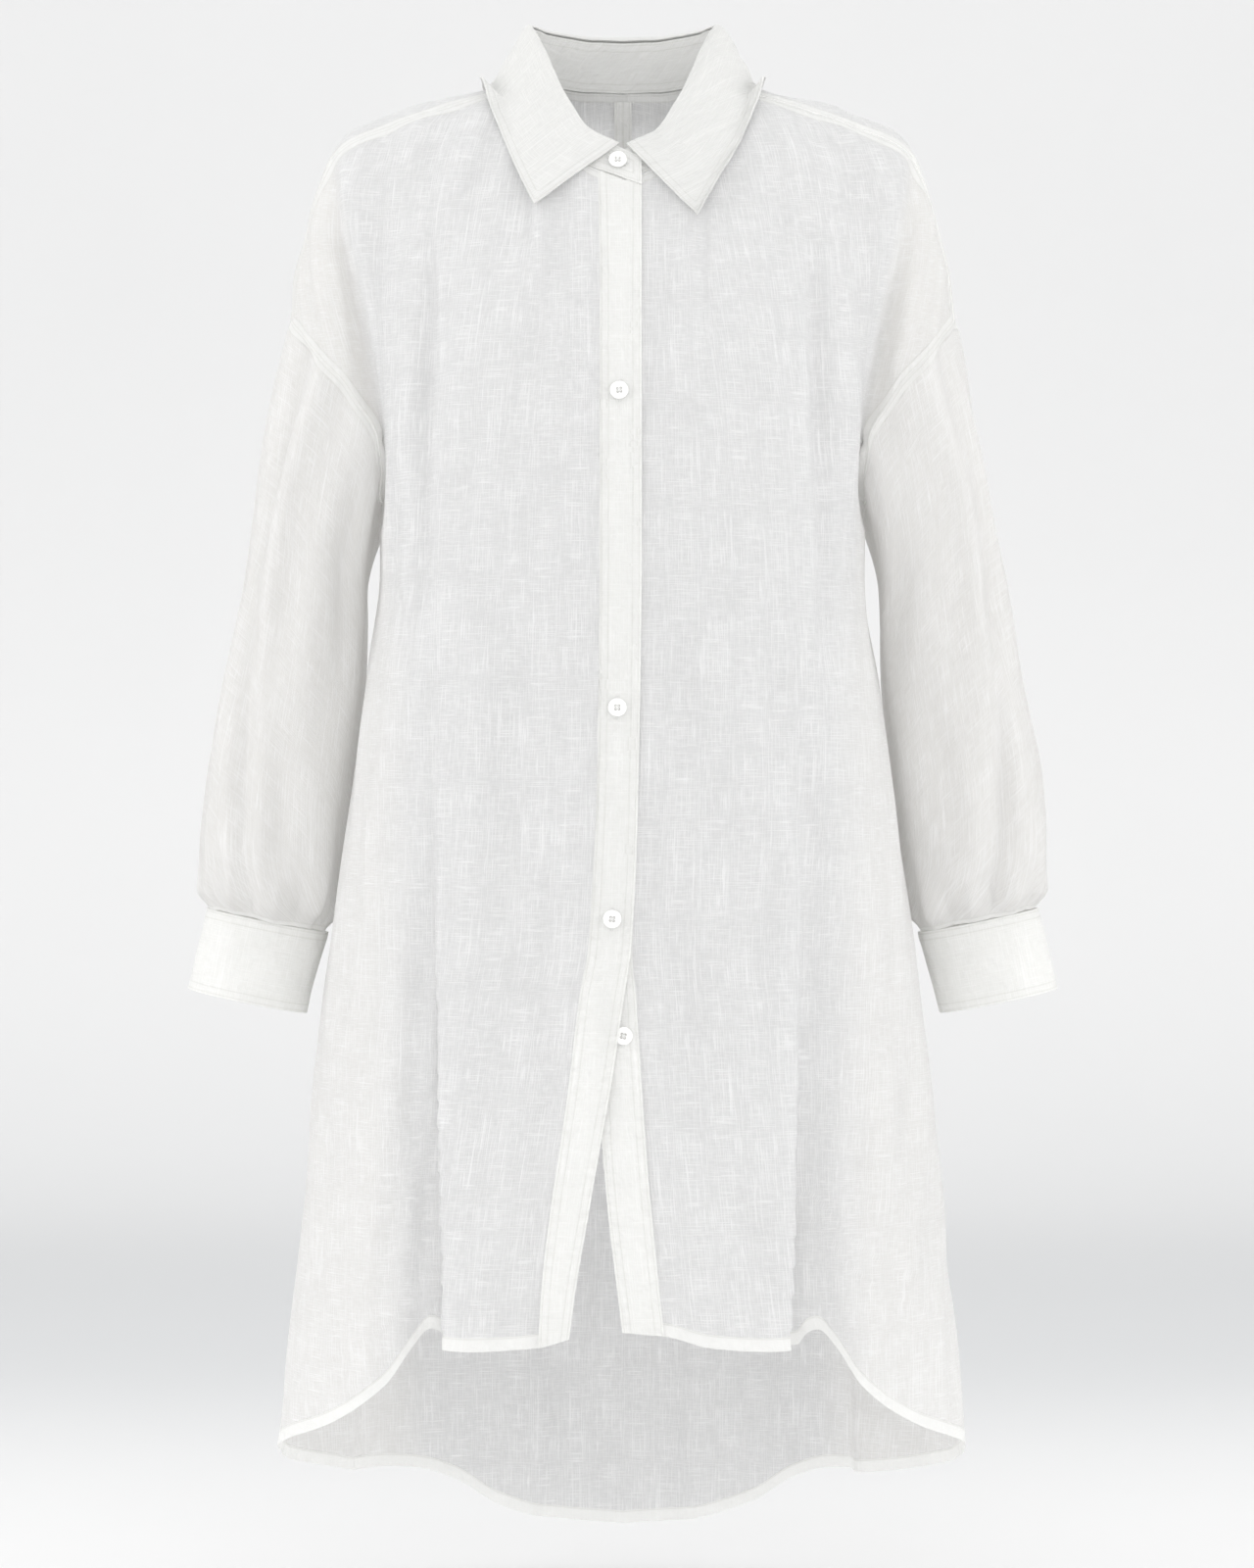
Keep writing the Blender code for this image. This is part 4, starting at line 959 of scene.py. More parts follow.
# Yoke.  One piece over both shoulders, its front seam lying forward of the
# shoulder line with the allowances turned under it and stitched twice.
halves = []
for side in (-1, 1):
    s = seams[side]
    neck = crown_seam(NECK_BACK, side, N_YOKE_BACK)[::-1]
    right = crown_place(np.concatenate([s["arm_top"][:-1], s["yoke_front"][::-1]]), side)
    bottom = crown_place(s["yoke_back"], side)
    top = crown_place(neck, side)
    top[-1] = right[-1]
    left = np.linspace(bottom[0], top[0], len(right))
    halves.append(crown_point(fill(bottom, top, left, right, hold=1.5), side))
surface = halves_of(*halves)
seam = from_edges(surface, FIRST_COLUMN, LAST_COLUMN, FIRST_ROW, LAST_ROW)
across = run_in(surface, 1, False)
across = across - across[:, across.shape[1] // 2][:, None]
along = run_in(surface, 0, False)
push = unrest(across, along, 41, 0.0007, wide=0.07, tall=0.10) * held_at(seam)
surface = surface + outward(surface) * push[..., None]
piece = sew("linen_yoke", surface, grid_normals(surface), CLOTH,
            np.stack([across, along], axis=-1), seam, NO_HEM, single_linen, close=painted_light_share(surface))
wear(piece, "yoke")


# Sleeves.  One piece each, seamed under the arm, set into the dropped armhole and
# gathered into the cuff.  The outer part of the arm folds back in one long line.
# Rings: share of the length, outer edge and its height, inner edge and its
# height, mid depth, half depth.
SLEEVE = np.array([
    (0.00, 0.2390, -0.157, 0.1820, -0.290, 0.010, 0.057),
    (0.10, 0.2490, -0.200, 0.1850, -0.312, 0.012, 0.058),
    (0.22, 0.2595, -0.250, 0.1865, -0.340, 0.016, 0.057),
    (0.35, 0.2715, -0.318, 0.1880, -0.378, 0.022, 0.055),
    (0.48, 0.2835, -0.378, 0.1905, -0.425, 0.029, 0.054),
    (0.60, 0.2960, -0.437, 0.1950, -0.470, 0.034, 0.054),
    (0.72, 0.3055, -0.490, 0.1995, -0.515, 0.034, 0.053),
    (0.84, 0.3100, -0.540, 0.2040, -0.558, 0.030, 0.050),
    (0.94, 0.3100, -0.568, 0.2095, -0.586, 0.024, 0.041),
    (1.00, 0.3022, -0.5825, 0.2175, -0.600, 0.020, 0.031),
])
N_SLEEVE = 130
ARMHOLE_SHARE = 0.30
DEGREES = 400
# Gathers above the cuff: waves around, share of the length where they start, depth.
CUFF_GATHERS = (11, 0.76, 0.0032)
FINE_GATHERS = (29, 0.84, 0.0013)

# Creases of a sleeve: start (share, turn in degrees from the outer line towards
# the front), end, half width in degrees, depth.
SLEEVE_CREASES = {
    -1: [
        (-0.30, 44.0, 0.66, 46.0, 9.0, -0.0080),
        (0.40, 48.0, 1.00, 80.0, 9.0, -0.0085),
        (-0.30, 62.0, 0.62, 64.0, 8.0, 0.0040),
        (0.10, 118.0, 0.52, 138.0, 11.0, -0.0030),
        (0.30, 100.0, 0.80, 112.0, 10.0, 0.0022),
        (0.62, 20.0, 1.00, 30.0, 7.0, -0.0026),
        (0.66, 100.0, 1.00, 96.0, 7.0, -0.0022),
        (0.20, -60.0, 0.95, -50.0, 14.0, -0.0040),
        (0.10, -110.0, 0.85, -118.0, 13.0, -0.0036),
    ],
    1: [
        (-0.30, 41.0, 0.62, 44.0, 9.0, -0.0075),
        (0.38, 46.0, 1.00, 84.0, 9.0, -0.0080),
        (-0.30, 60.0, 0.60, 63.0, 8.0, 0.0040),
        (0.10, 118.0, 0.50, 140.0, 11.0, -0.0030),
        (0.42, 104.0, 0.90, 88.0, 9.0, 0.0026),
        (0.60, 14.0, 1.00, 22.0, 7.0, -0.0026),
        (0.70, 66.0, 1.00, 58.0, 7.0, -0.0024),
        (0.20, -64.0, 0.95, -52.0, 14.0, -0.0040),
        (0.14, -112.0, 0.85, -116.0, 13.0, -0.0036),
    ],
}


RING_POWER, RING_SQUARER = 2.2, 0.9


def ring(outer_x, outer_z, inner_x, inner_z, mid_y, depth, side, turns, power=RING_POWER):
    """Superellipse of a power from the outer edge, turning to the front."""
    middle = np.array([0.5 * (outer_x + inner_x), mid_y, 0.5 * (outer_z + inner_z)])
    across = np.array([0.5 * (outer_x - inner_x), 0.0, 0.5 * (outer_z - inner_z)])
    c, s = np.cos(turns), np.sin(turns)
    squeeze = (np.abs(c) ** power + np.abs(s) ** power) ** (-1 / power)
    points = middle + (c * squeeze)[:, None] * across
    points = points - (s * squeeze)[:, None] * np.array([0, depth, 0])
    return points * (side, 1, 1)


for side in (-1, 1):
    s = seams[side]
    # The loop starts and ends under the arm, where the sleeve's own seam is.
    loop = np.concatenate([s["arm_back"][:-1], s["arm_top"][:-1], s["arm_front"]])
    middle = loop[:-1].mean(axis=0)
    first = SLEEVE[0]
    slant = unit(np.array([first[1] - first[3], 0.0, first[2] - first[4]]))
    local = (loop - middle) * (side, 1, 1)
    turns = np.unwrap(np.arctan2(-local[:, 1], local @ slant))
    turns -= 2 * math.pi * round(turns[len(turns) // 2] / (2 * math.pi))
    shares = np.linspace(0, 1, N_SLEEVE + 1)
    grid = np.stack([ring(*[read(SLEEVE, k, share) for k in range(1, 7)], side, turns,
                          power=RING_POWER + RING_SQUARER * math.sin(math.pi * share))
                     for share in shares])
    fade = ease(1 - shares / ARMHOLE_SHARE)
    grid = grid + (loop - grid[0])[None] * fade[:, None, None]
    normals = facing_out(grid, N_SLEEVE // 2)
    down = run_in(grid, 0, False)
    around = run_in(grid, 1, False)
    top = around[:, np.argmin(np.abs(turns))][:, None]
    # DEGREES of turn count as much as the whole length, so that a crease's line slants.
    push = creases(np.degrees(turns)[None, :] / DEGREES + 0 * down, shares[:, None] + 0 * down,
                   [(b / DEGREES, a, d / DEGREES, c, w / DEGREES, e)
                    for a, b, c, d, w, e in SLEEVE_CREASES[side]])
    push += unrest(around - top, down, 51 + side, 0.0016, wide=0.07, tall=0.22)
    for waves, start, depth in (CUFF_GATHERS, FINE_GATHERS):
        way = np.clip((shares - start) / (1 - start), 0, 1)
        swell = depth * way ** 1.3 * (1 - 0.55 * np.clip((way - 0.8) / 0.2, 0, 1))
        push += swell[:, None] * np.cos(waves * turns + 0.8 * np.sin(2 * turns))
    closing = np.minimum(around, run_in(grid, 1, True))
    push *= held_at(down) * held_at(closing, 0.02)
    push *= 1 - 0.5 * (1 - held_at(run_in(grid, 0, True), 0.012))
    grid = grid + normals * push[..., None]
    under = np.clip(-(local @ slant) / 0.07, 0, 1) ** 2
    grid[0] += 0.0002 * unit(grid[1] - grid[0])
    fading = np.linspace(1, 0, 6)[:, None, None]
    grid[:6] += (0.0009 * under[None, :, None] * fading) * outward(loop)[None]
    seam = np.minimum(down, run_in(grid, 0, True) + 0.003)
    weave = np.stack([around - top + 0.7 * side, 0.4 * side - down], axis=-1)
    # The sleeves take painted light almost all over, standing for the body's cloth behind them.
    piece = sew("linen_sleeve_" + SIDE_WORD[side], grid, facing_out(grid, N_SLEEVE // 2), CLOTH,
                weave, seam, NO_HEM, single_linen, close=0.85)
    wear(piece, "sleeve_" + SIDE_WORD[side])


# Cuffs.  A straight doubled band once around the wrist, its end lapped over its
# start behind and buttoned, stitched close to every edge.
CUFF_TOP = (0.3026, -0.5832, 0.2173, -0.6007)
CUFF_BOTTOM = (0.3155, -0.6415, 0.2320, -0.6590)
CUFF_DEPTH = 0.030
CUFF_MID = (0.020, 0.012)
CUFF_LAP = 0.022
CUFF_GIRTH = 0.215
CUFF_START = -0.62 * math.pi
CUFF_ROWS, CUFF_POINTS = 40, 150
LAP_RISE = 0.0021
cuff_faces = {}

for side in (-1, 1):
    around = 2 * math.pi * (1 + CUFF_LAP / CUFF_GIRTH)
    turns = np.linspace(CUFF_START, CUFF_START + around, CUFF_POINTS)
    spread = LAP_RISE * (turns - turns[0]) / (2 * math.pi)
    rows = []
    for share in np.linspace(0, 1, CUFF_ROWS):
        sizes = [a + (b - a) * share for a, b in zip(CUFF_TOP, CUFF_BOTTOM)]
        mid = CUFF_MID[0] + (CUFF_MID[1] - CUFF_MID[0]) * share
        points = ring(*sizes, mid, CUFF_DEPTH, side, turns)
        centre = np.array([side * 0.5 * (sizes[0] + sizes[2]), mid, 0.5 * (sizes[1] + sizes[3])])
        rows.append(points + unit(points - centre) * spread[:, None])
    grid = np.stack(rows)
    normals = facing_out(grid, 1)
    down, around = run_in(grid, 0, False), run_in(grid, 1, False)
    edge = from_edges(grid, FIRST_ROW, LAST_ROW, FIRST_COLUMN, LAST_COLUMN)
    soft = unrest(around, down, 61 + side, 0.0004, wide=0.05, tall=0.05)
    ripple = unrest(down, around, 63 + side, 0.0003, wide=0.05, tall=0.009)
    ripple = ripple * np.exp(-((down - 0.004) / 0.005) ** 2)
    lapped = np.clip((turns - turns[0]) / 0.9, 0, 1) * np.clip((turns[-1] - turns) / 0.9, 0, 1)
    grid = grid + normals * ((soft + ripple) * lapped)[..., None]
    cuff_faces[side] = (grid, normals)
    piece = sew("linen_cuff_" + SIDE_WORD[side], grid, normals, DOUBLED,
                np.stack([around, -down], axis=-1), edge, NO_HEM, doubled_linen)
    wear(piece, "cuff_" + SIDE_WORD[side])


# Collar.  A stand around the neck, lapped and buttoned at the front, and a
# pointed fall sewn to its top, rolled over and lying on the shoulders and chest.
# Both are doubled and stiffened, with stitches 6 mm inside the fall's edge.
# The stand's seam: its end on the wearer's left under the other, around the neckline
# to the right end on top.
STAND_END = np.array([(0.0134, -0.0800, -0.0735), (-0.0040, -0.0795, -0.0667)])
half_neck = np.concatenate([NECK_FRONT[2:], NECK_BACK[1:]])
STAND_PATH = np.concatenate([STAND_END, half_neck * (-1, 1, 1), half_neck[-2::-1],
                             STAND_END[::-1] * (-1, 1, 1)])
STAND_FRONT, STAND_BACK = 0.022, 0.036
STAND_LEAN, STAND_LEAN_SIDE = 0.34, 0.60
# Points along the stand, how many at each end lie on the fronts, and its rows.
STAND_POINTS, STAND_ENDS, STAND_ROWS = 200, 20, 20
# How far the fall keeps from the form, and its point counts.
FALL_CLEAR = 0.0052
FALL_POINTS, FALL_ROWS = 150, 48
# Outer edge of the fall, from a point to the middle of the back.
FALL_EDGE = np.array([
    (-0.0620, -0.1000, -0.0869),
    (-0.0745, -0.0850, -0.0610),
    (-0.0850, -0.0640, -0.0350),
    (-0.0952, -0.0360, -0.0080),
    (-0.0998, -0.0020, 0.0080),
    (-0.0970, 0.0330, 0.0100),
    (-0.0760, 0.0600, 0.0085),
    (-0.0420, 0.0770, 0.0070),
    (0.0000, 0.0830, 0.0060),
])
# Its point on the wearer's left hangs a little nearer the middle and lower.
LEFT_POINT = np.array([(0.0525, -0.1000, -0.0950), (0.0700, -0.0850, -0.0620)])

UP = np.array([0, 0, 1.0])
path = resample(STAND_PATH, STAND_POINTS)
t = np.linspace(0, 1, STAND_POINTS + 1)
placed = path.copy()
for i in range(STAND_POINTS + 1):
    side = 1 if path[i, 0] > 0 else -1
    if STAND_ENDS <= i <= STAND_POINTS - STAND_ENDS:
        placed[i] = crown_point(crown_place(path[i][None], side), side)[0]
    else:
        placed[i] = front_point(np.array([[side * path[i, 0], path[i, 2]]]), side)[0]
normals = outward(placed)
flat = np.stack([path[:, 0], path[:, 1] + 0.006, 0 * t], axis=-1)
away = unit(flat)
lap = LAP_RISE * ease((0.125 - t) / 0.055)
lowered = np.clip(np.abs(t - 0.5) * 2.3 - 0.15, 0, 1) ** 1.5
tall = STAND_BACK + (STAND_FRONT - STAND_BACK) * lowered
slope = unit(UP - normals[:, 2:] * normals)
front = np.clip((np.abs(t - 0.5) * 2 - 0.55) / 0.30, 0, 1)[:, None]
lean = STAND_LEAN_SIDE * np.exp(-((np.abs(t - 0.5) * 2 - 0.67) / 0.15) ** 2)
up = (1 - front) * (UP - STAND_LEAN * away) + front * slope
up[:, 0] -= lean * np.sign(path[:, 0]) * np.clip(np.abs(path[:, 0]) / 0.01, 0, 1)
up = unit(up)
away = (1 - front) * away + front * normals
base = placed + 0.0004 * normals + away * lap[:, None]
stand = np.stack([base + up * (0.0012 + (tall + 0.0004) * v)[:, None]
                  for v in np.linspace(0, 1, STAND_ROWS)])
stand_face = grid_normals(stand)
if np.sum(stand_face[1] * away) < 0:
    stand_face = -stand_face
down, around = run_in(stand, 0, False), run_in(stand, 1, False)
edge = from_edges(stand, FIRST_ROW, LAST_ROW, FIRST_COLUMN, LAST_COLUMN)
piece = sew("linen_collar_stand", stand, stand_face, DOUBLED, np.stack([around, down], axis=-1),
            edge, NO_HEM, doubled_linen)
wear(piece, "collar_stand")

# The fall's linen is a greyer copy of the doubled linen: painted shade that holds the dense, less
# sheer collar down to the tone of the other cloth under the same lights.
shaded_collar_linen = linen("collar linen with painted shade", ("#D6D6D4", "#D6D6D4", "#E5E5E3", "#D6D6D4", "#E5E5E3"),
                     thickly=1.0, sheerness=0.10, hem_band=NO_BAND, allowance=FALL_ALLOWANCE)
left = FALL_EDGE * (-1, 1, 1)
left[:2] = LEFT_POINT
edge = resample(np.concatenate([FALL_EDGE, left[::-1][1:]]), FALL_POINTS)

# The fall starts and ends a little in from the ends of the stand's top edge, and each
# of its columns is a curve from there over a turning point to the outer edge.
TOP_POINTS, TOP_INSET = 320, 11
sewn_part = slice(TOP_INSET, TOP_POINTS - TOP_INSET + 1)
s = np.linspace(0, 1, FALL_POINTS + 1)
mid = 1 - np.abs(s - 0.5) * 2
forward = np.clip(1.25 - mid * 2.5, 0, 1)[:, None]
top_edge, top_away = (resample(resample(line, TOP_POINTS)[sewn_part], FALL_POINTS)
                      for line in (stand[-1], away))
roll = top_edge + 0.0022 * UP + (0.0010 + 0.0010 * forward) * top_away
out = edge - roll
out[:, 2] = 0
rise = 0.004 + 0.006 * np.clip(mid * 2.0, 0, 1) + 0.008 * mid ** 4
turn = roll + 0.24 * out + UP * rise[:, None]
share = np.clip(mid / 0.45, 0, 1)[:, None]
turn = (1 - share) * 0.5 * (roll + edge) + share * turn
fall = np.stack([(1 - v) ** 2 * roll + 2 * v * (1 - v) * turn + v * v * edge
                 for v in np.linspace(0, 1, FALL_ROWS) ** 1.2])
for _ in range(3):
    sunk = np.maximum(FALL_CLEAR - worn_form(fall), 0)
    fall = fall + outward(fall) * sunk[..., None]
fall_face = grid_normals(fall)
if fall_face[20, FALL_POINTS // 2] @ np.array([0, 1.0, 0.3]) < 0:
    fall_face = -fall_face
down, around = run_in(fall, 0, False), run_in(fall, 1, False)
edge = from_edges(fall, LAST_ROW, FIRST_COLUMN, LAST_COLUMN)
soft = unrest(around, down, 71, 0.0007, wide=0.045, tall=0.06) * held_at(down, 0.02)
fall = fall + fall_face * soft[..., None]
normals = grid_normals(fall)
normals = normals * np.sign(np.sum(normals * fall_face))
piece = sew("linen_collar_fall", fall, normals, DOUBLED, np.stack([around, -down], axis=-1),
            edge, NO_HEM, shaded_collar_linen)
wear(piece, "collar_fall")


# Back strip.  A narrow folded strip stitched to the inside of the yoke, down
# from the neck seam.
STRIP_WIDTH, STRIP_WALL, STRIP_INSIDE = 0.013, 0.0009, 0.0013
STRIP_SPAN = (-0.078, 0.012)

places = np.stack(np.meshgrid(AROUND - np.linspace(-STRIP_WIDTH / 2, STRIP_WIDTH / 2, 9),
                              np.linspace(*STRIP_SPAN, 60)), axis=-1)
surface = body_point(places, 1)
normals = outward(surface)
surface = surface - normals * STRIP_INSIDE
across, height = run_in(surface, 1, False), run_in(surface, 0, False)
edge = from_edges(surface, FIRST_COLUMN, LAST_COLUMN)
piece = sew("linen_back_strip", surface, normals, STRIP_WALL, np.stack([across, height], axis=-1),
            edge, NO_HEM, doubled_linen)
wear(piece, "back_strip")


# Buttons.  Moulded white shell-like plastic, dished inside a raised rim, with four
# holes, and sewn on through them with white thread.  Each buttonhole is a slit
# bound with close stitches, lying along its band.
BUTTON_RADIUS, BUTTON_HEIGHT = 0.0064, 0.0024
CUFF_BUTTON_RADIUS = 0.0055
CUFF_BUTTON_COLUMN = round(CUFF_POINTS * 28 / 31) - 1
HOLE_RADIUS, HOLE_OUT = 0.00095, 0.0017
THREAD, STITCH_RADIUS = 0.00045, 0.00018
SEAT = 0.0006
TOP_BUTTONS = [(-0.0024, -0.2207), (-0.0037, -0.4402), (-0.0072, -0.5864)]
UNDER_BUTTON = (0.0004, -0.6670)
BUTTONHOLE_LENGTH, BUTTONHOLE_WIDTH = 0.0160, 0.0028

# Button: glossy, with faint clouds in the white, and painted shade darkening its holes.
shell, tree, shader = new_finish("moulded white button")
place = put(tree, "ShaderNodeTexCoord")
clouds = noise_of(tree, (place, 3), 420.0, 3.0, flat=False)
tone = blend(tree, (clouds, 0), linear("#E9E9E6"), linear("#FBFBFA"))
# The hole mark paints shade into the sunk holes.
tone = blend(tree, (mark(tree, "hole"), 2), (tone, 2), linear("#C4C3C0"))
tree.links.new(tone.outputs[2], shader.inputs["Base Color"])
set_inputs(shader, {"Roughness": 0.22, "IOR": 1.54})

# Spun thread, plied, drawn as fine slanting ridges, with painted shade darkening the grooves
# between them.
thread, tree, shader = new_finish("spun white thread")
place = put(tree, "ShaderNodeTexCoord")
ply = put(tree, "ShaderNodeTexWave", {"bands_direction": "DIAGONAL"},
          {"Vector": (place, 3), "Scale": 900.0, "Distortion": 1.0})
tone = blend(tree, (ply, 1), linear("#DDDDDB"), linear("#F6F6F5"))
ridge = put(tree, "ShaderNodeBump", None,
            {"Height": (ply, 1), "Distance": 0.0002, "Strength": 0.6})
tree.links.new(tone.outputs[2], shader.inputs["Base Color"])
tree.links.new(ridge.outputs[0], shader.inputs["Normal"])
set_inputs(shader, {"Roughness": 0.7})


def turned(normal):
    """Two unit directions across a normal, the second as near upright as it can be."""
    normal = unit(normal)
    side_way = unit(np.cross(normal, UP))
    return normal, side_way, np.cross(side_way, normal)


def plain_mesh(name, points, faces, finish):
    """A mesh object from points and faces, shaded smooth."""
    mesh = bpy.data.meshes.new(name)
    mesh.from_pydata(np.asarray(points).tolist(), [], [list(face) for face in faces])
    mesh.update()
    mesh.materials.append(finish)
    mesh.shade_smooth()
    mesh.set_sharp_from_angle(angle=math.radians(55))
    return put_in_scene(name, mesh)


# Face of a button from its middle to its rim: share of the radius, share of the height.
BUTTON_FACE = np.array([(0.0, 0.74), (0.45, 0.76), (0.62, 0.84), (0.74, 0.98), (0.84, 1.0),
                        (0.93, 0.90), (1.0, 0.62)])
HOLE_DEPTH = 0.4


def lathed_button(name, centre, normal, radius, twist):
    """Heights over a polar grid: a dished disc inside a rounded rim, sunk at four
    holes by HOLE_DEPTH * exp(-(d / hole)^4) of its height."""
    normal, across, upright = turned(normal)
    high = BUTTON_HEIGHT
    out = np.concatenate([np.linspace(0, 0.55, 22)[1:], np.linspace(0.57, 1.0, 16)])
    rings = np.r_[out, 0.97, 0.82, 0.4] * radius
    heights = np.r_[read(BUTTON_FACE, 1, out), 0.30, 0.0, 0.0] * high
    count = 56
    a = np.linspace(0, 2 * math.pi, count, endpoint=False)
    x, y = rings[:, None] * np.cos(a), rings[:, None] * np.sin(a)
    z = np.repeat(heights[:, None], count, axis=1)
    sunk = np.zeros_like(x)
    for quarter in range(4):
        b = twist + math.pi / 4 + quarter * math.pi / 2
        away = np.hypot(x - HOLE_OUT * math.cos(b), y - HOLE_OUT * math.sin(b))
        sunk = np.maximum(sunk, np.exp(-(away / HOLE_RADIUS) ** 4))
    upper = (np.arange(len(rings)) < len(out))[:, None]
    z = z - HOLE_DEPTH * high * sunk * upper
    points = centre + x[..., None] * across + y[..., None] * upright + z[..., None] * normal
    points = points.reshape(-1, 3)
    size = len(points)
    points = np.vstack([points, centre + BUTTON_FACE[0, 1] * high * normal, centre])
    k = np.arange(count)
    after = (k + 1) % count
    faces = [(size, i, j) for i, j in zip(k, after)]
    for row in range(len(rings) - 1):
        near, far = row * count, (row + 1) * count
        faces += [(near + i, far + i, far + j, near + j) for i, j in zip(k, after)]
    last = (len(rings) - 1) * count
    faces += [(size + 1, last + j, last + i) for i, j in zip(k, after)]
    made = plain_mesh(name, points, faces, shell)
    # The hole mark carries the painted shade of the holes.
    marks = made.data.attributes.new("hole", "FLOAT", "POINT")
    marks.data.foreach_set("value", np.r_[(sunk * upper).ravel(), 0.0, 0.0])
    return made


def cord_mesh(name, paths, radius, finish):
    """Round tubes of eight sides along open paths: ring points are the path's own
    plus radius * (cos a, sin a) across its direction."""
    points, faces = [], []
    a = np.linspace(0, 2 * math.pi, 8, endpoint=False)
    for path in paths:
        path = np.asarray(path, float)
        ahead = unit(np.gradient(path, axis=0))
        helper = np.where(np.abs(ahead[:, 2:]) < 0.9, UP, np.array([1.0, 0, 0]))
        u = unit(np.cross(ahead, helper))
        v = np.cross(ahead, u)
        about = np.cos(a)[:, None] * u[:, None] + np.sin(a)[:, None] * v[:, None]
        rings = path[:, None] + radius * about
        start = sum(len(p) for p in points)
        points.append(rings.reshape(-1, 3))
        for row in range(len(path) - 1):
            p, q = start + row * 8, start + (row + 1) * 8
            faces += [(p + i, p + (i + 1) % 8, q + (i + 1) % 8, q + i) for i in range(8)]
        faces.append([start + i for i in range(7, -1, -1)])
        faces.append([start + (len(path) - 1) * 8 + i for i in range(8)])
    return plain_mesh(name, np.concatenate(points), faces, finish)


def sewn_cross(name, centre, normal, twist):
    """Two stitches across the button's face, each a low arch from hole to hole."""
    normal, across, upright = turned(normal)
    s = np.linspace(0, 1, 9)
    arch = BUTTON_HEIGHT * (0.42 + 0.50 * np.sin(math.pi * s) ** 0.6)
    paths = []
    for pair in range(2):
        for strand in (-0.00022, 0.00022):
            b = twist + math.pi / 4 + pair * math.pi / 2
            way = math.cos(b) * across + math.sin(b) * upright
            beside = -math.sin(b) * across + math.cos(b) * upright
            reach = HOLE_OUT * (1 - 2 * s)
            high = arch + 0.0002 * pair
            paths.append(centre + reach[:, None] * way + strand * beside + high[:, None] * normal)
    return cord_mesh(name, paths, THREAD / 2, thread)


def bound_hole(name, centre, normal, along):
    """Buttonhole: stitches laid across a flat loop, each a short tube square to it."""
    normal = unit(normal)
    along = unit(along - normal * (along @ normal))
    beside = np.cross(normal, along)
    s = np.linspace(-0.5, 0.5, 40)
    paths = []
    for half in (-1, 1):
        inner = centre + s[:, None] * BUTTONHOLE_LENGTH * along + half * 0.0003 * beside
        outer = inner + half * (BUTTONHOLE_WIDTH / 2 - 0.0003) * beside
        lift = 0.0002 * normal
        paths += [np.stack([i + lift, 0.5 * (i + o) + 1.6 * lift, o + lift])
                  for i, o in zip(inner, outer)]
    return cord_mesh(name, paths, STITCH_RADIUS, thread)


def fasten(name, centre, normal, along, radius=BUTTON_RADIUS, twist=0.0):
    """One button with its thread and buttonhole, seated on its band."""
    button = lathed_button("shell_" + name, centre, normal, radius, twist)
    cross = sewn_cross("thread_" + name, centre, normal, twist)
    hole = bound_hole("buttonhole_" + name, centre - unit(normal) * 0.0001, normal,
                      np.asarray(along, float))
    for piece in (button, cross, hole):
        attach(piece, "root")
    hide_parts(name)


def front_seat(x, z, lift):
    """Place and normal on a front band."""
    point = front_point(np.array([[abs(x) if x < 0 else -x, z]]), -1)[0]
    normal = outward(point[None])[0]
    return point + normal * (lift + SEAT), normal


# The collar's button sits half way up the stand, between its columns 5 and 10.
share = 0.35
low, high = (0.5 * (stand[9, column] + stand[10, column]) for column in (5, 10))
seat = (1 - share) * low + share * high
fasten("button_1", seat + SEAT * stand_face[9, 7], stand_face[9, 7], stand[9, 12] - stand[9, 2])
for number, (x, z) in enumerate(TOP_BUTTONS, start=2):
    seat, normal = front_seat(x, z, float(read(LIFT, 1, np.array(z))) + 0.0003)
    fasten("button_%d" % number, seat, normal, (0.02 * number, 0, 1.0),
           twist=0.12 * (number - 3))
seat, normal = front_seat(*UNDER_BUTTON, 0.0003)
fasten("button_5", seat, normal, (0, 0, 1.0), twist=0.2)
for side in (-1, 1):
    grid, normals = cuff_faces[side]
    row, column = CUFF_ROWS // 2 - 1, CUFF_BUTTON_COLUMN
    seat = 0.5 * (grid[row, column] + grid[row + 1, column]) + SEAT * normals[row, column]
    fasten("cuff_button_" + SIDE_WORD[side], seat, normals[row, column],
           grid[row, column + 4] - grid[row, column - 4], radius=CUFF_BUTTON_RADIUS)


# Studio.  A pale seamless sweep, even soft lights on both sides, above and in front,
# a weaker one behind, and an even pale surround.
FLOOR = -1.090
SWEEP_WIDTH = 7
sweep = np.array([
    (-6.0, FLOOR),
    (1.2, FLOOR),
    (2.2, FLOOR + 0.02),
    (2.9, FLOOR + 0.35),
    (3.2, FLOOR + 1.0),
    (3.3, FLOOR + 6.0),
])
line = resample(sweep, 90)
grid = np.stack([np.column_stack([np.full(len(line), x), line])
                 for x in np.linspace(-SWEEP_WIDTH, SWEEP_WIDTH, 3)], axis=1)
faces = quads_of(np.arange(len(line) * 3).reshape(len(line), 3))
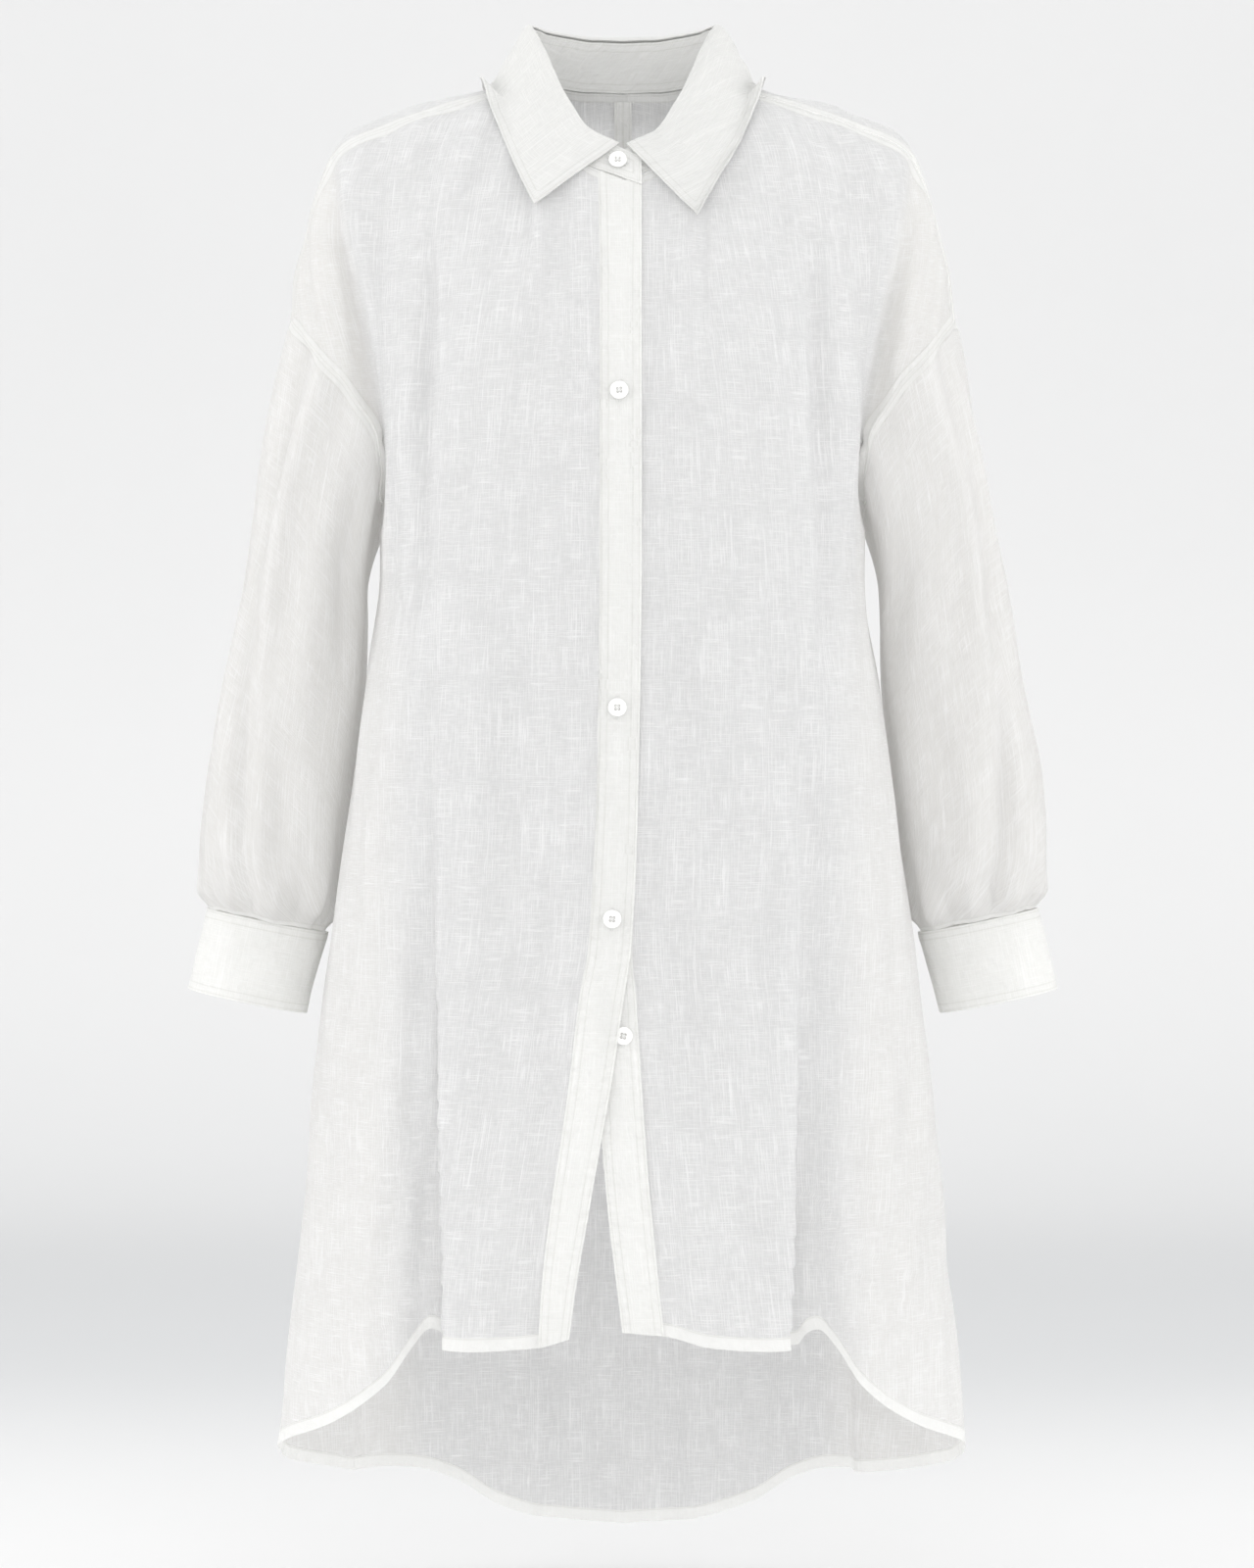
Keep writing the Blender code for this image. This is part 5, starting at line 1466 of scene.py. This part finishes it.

# Paper, with painted shade: a greyer band on the floor behind the shirt.
paper, tree, shader = new_finish("matt backdrop paper")
place = put(tree, "ShaderNodeTexCoord")
tooth = noise_of(tree, (place, 3), 3.0, 2.0, flat=False)
tone = blend(tree, (tooth, 0), linear("#E0E0E0"), linear("#E2E2E2"))
back = (put(tree, "ShaderNodeSeparateXYZ", None, {0: (place, 3)}), 1)
near = ramp(tree, back, 0.1, 1.3, kind="SMOOTHSTEP")
far = ramp(tree, back, 3.2, 1.6, kind="SMOOTHSTEP")
painted_shade_band = reckon(tree, "MULTIPLY", (near, 0), (far, 0))
tone = blend(tree, (painted_shade_band, 0), (tone, 2), linear("#CBCCCD"))
tree.links.new(tone.outputs[2], shader.inputs["Base Color"])
set_inputs(shader, {"Roughness": 1.0, "Specular IOR Level": 0.0})
floor = plain_mesh("studio_sweep", grid.reshape(-1, 3), faces.tolist(), paper)


def soft_light(name, place, aim, size, power):
    """A rectangular area light at a place, turned to face the aim."""
    data = bpy.data.lights.new(name, "AREA")
    data.shape = "RECTANGLE"
    data.size, data.size_y = size
    data.energy = power
    made = put_in_scene(name, data)
    made.location = place
    way = np.array(place, float) - np.array(aim, float)
    tilt = math.acos(way[2] / np.linalg.norm(way))
    made.rotation_euler = (tilt, 0, math.atan2(way[0], -way[1]))


soft_light("left side", (-2.9, -0.9, 0.3), (0, 0, -0.5), (2.4, 3.0), 40)
soft_light("right side", (2.9, -0.9, 0.1), (0, 0, -0.5), (2.4, 3.0), 39)
soft_light("above", (0.0, 0.3, 2.6), (0, 0.1, -0.5), (4.0, 4.0), 26)
soft_light("behind", (0.0, 1.5, 1.5), (0, 0, -0.6), (2.4, 1.0), 12)
soft_light("front", (0.0, -3.4, -0.1), (0, 0, -0.5), (3.0, 3.0), 42)

world = bpy.data.worlds.new("studio surround")
world.use_nodes = True
world.node_tree.nodes["Background"].inputs[0].default_value = linear("#F6F6F6")
world.node_tree.nodes["Background"].inputs[1].default_value = 0.92
bpy.context.scene.world = world
bpy.context.scene.view_settings.view_transform = "Standard"
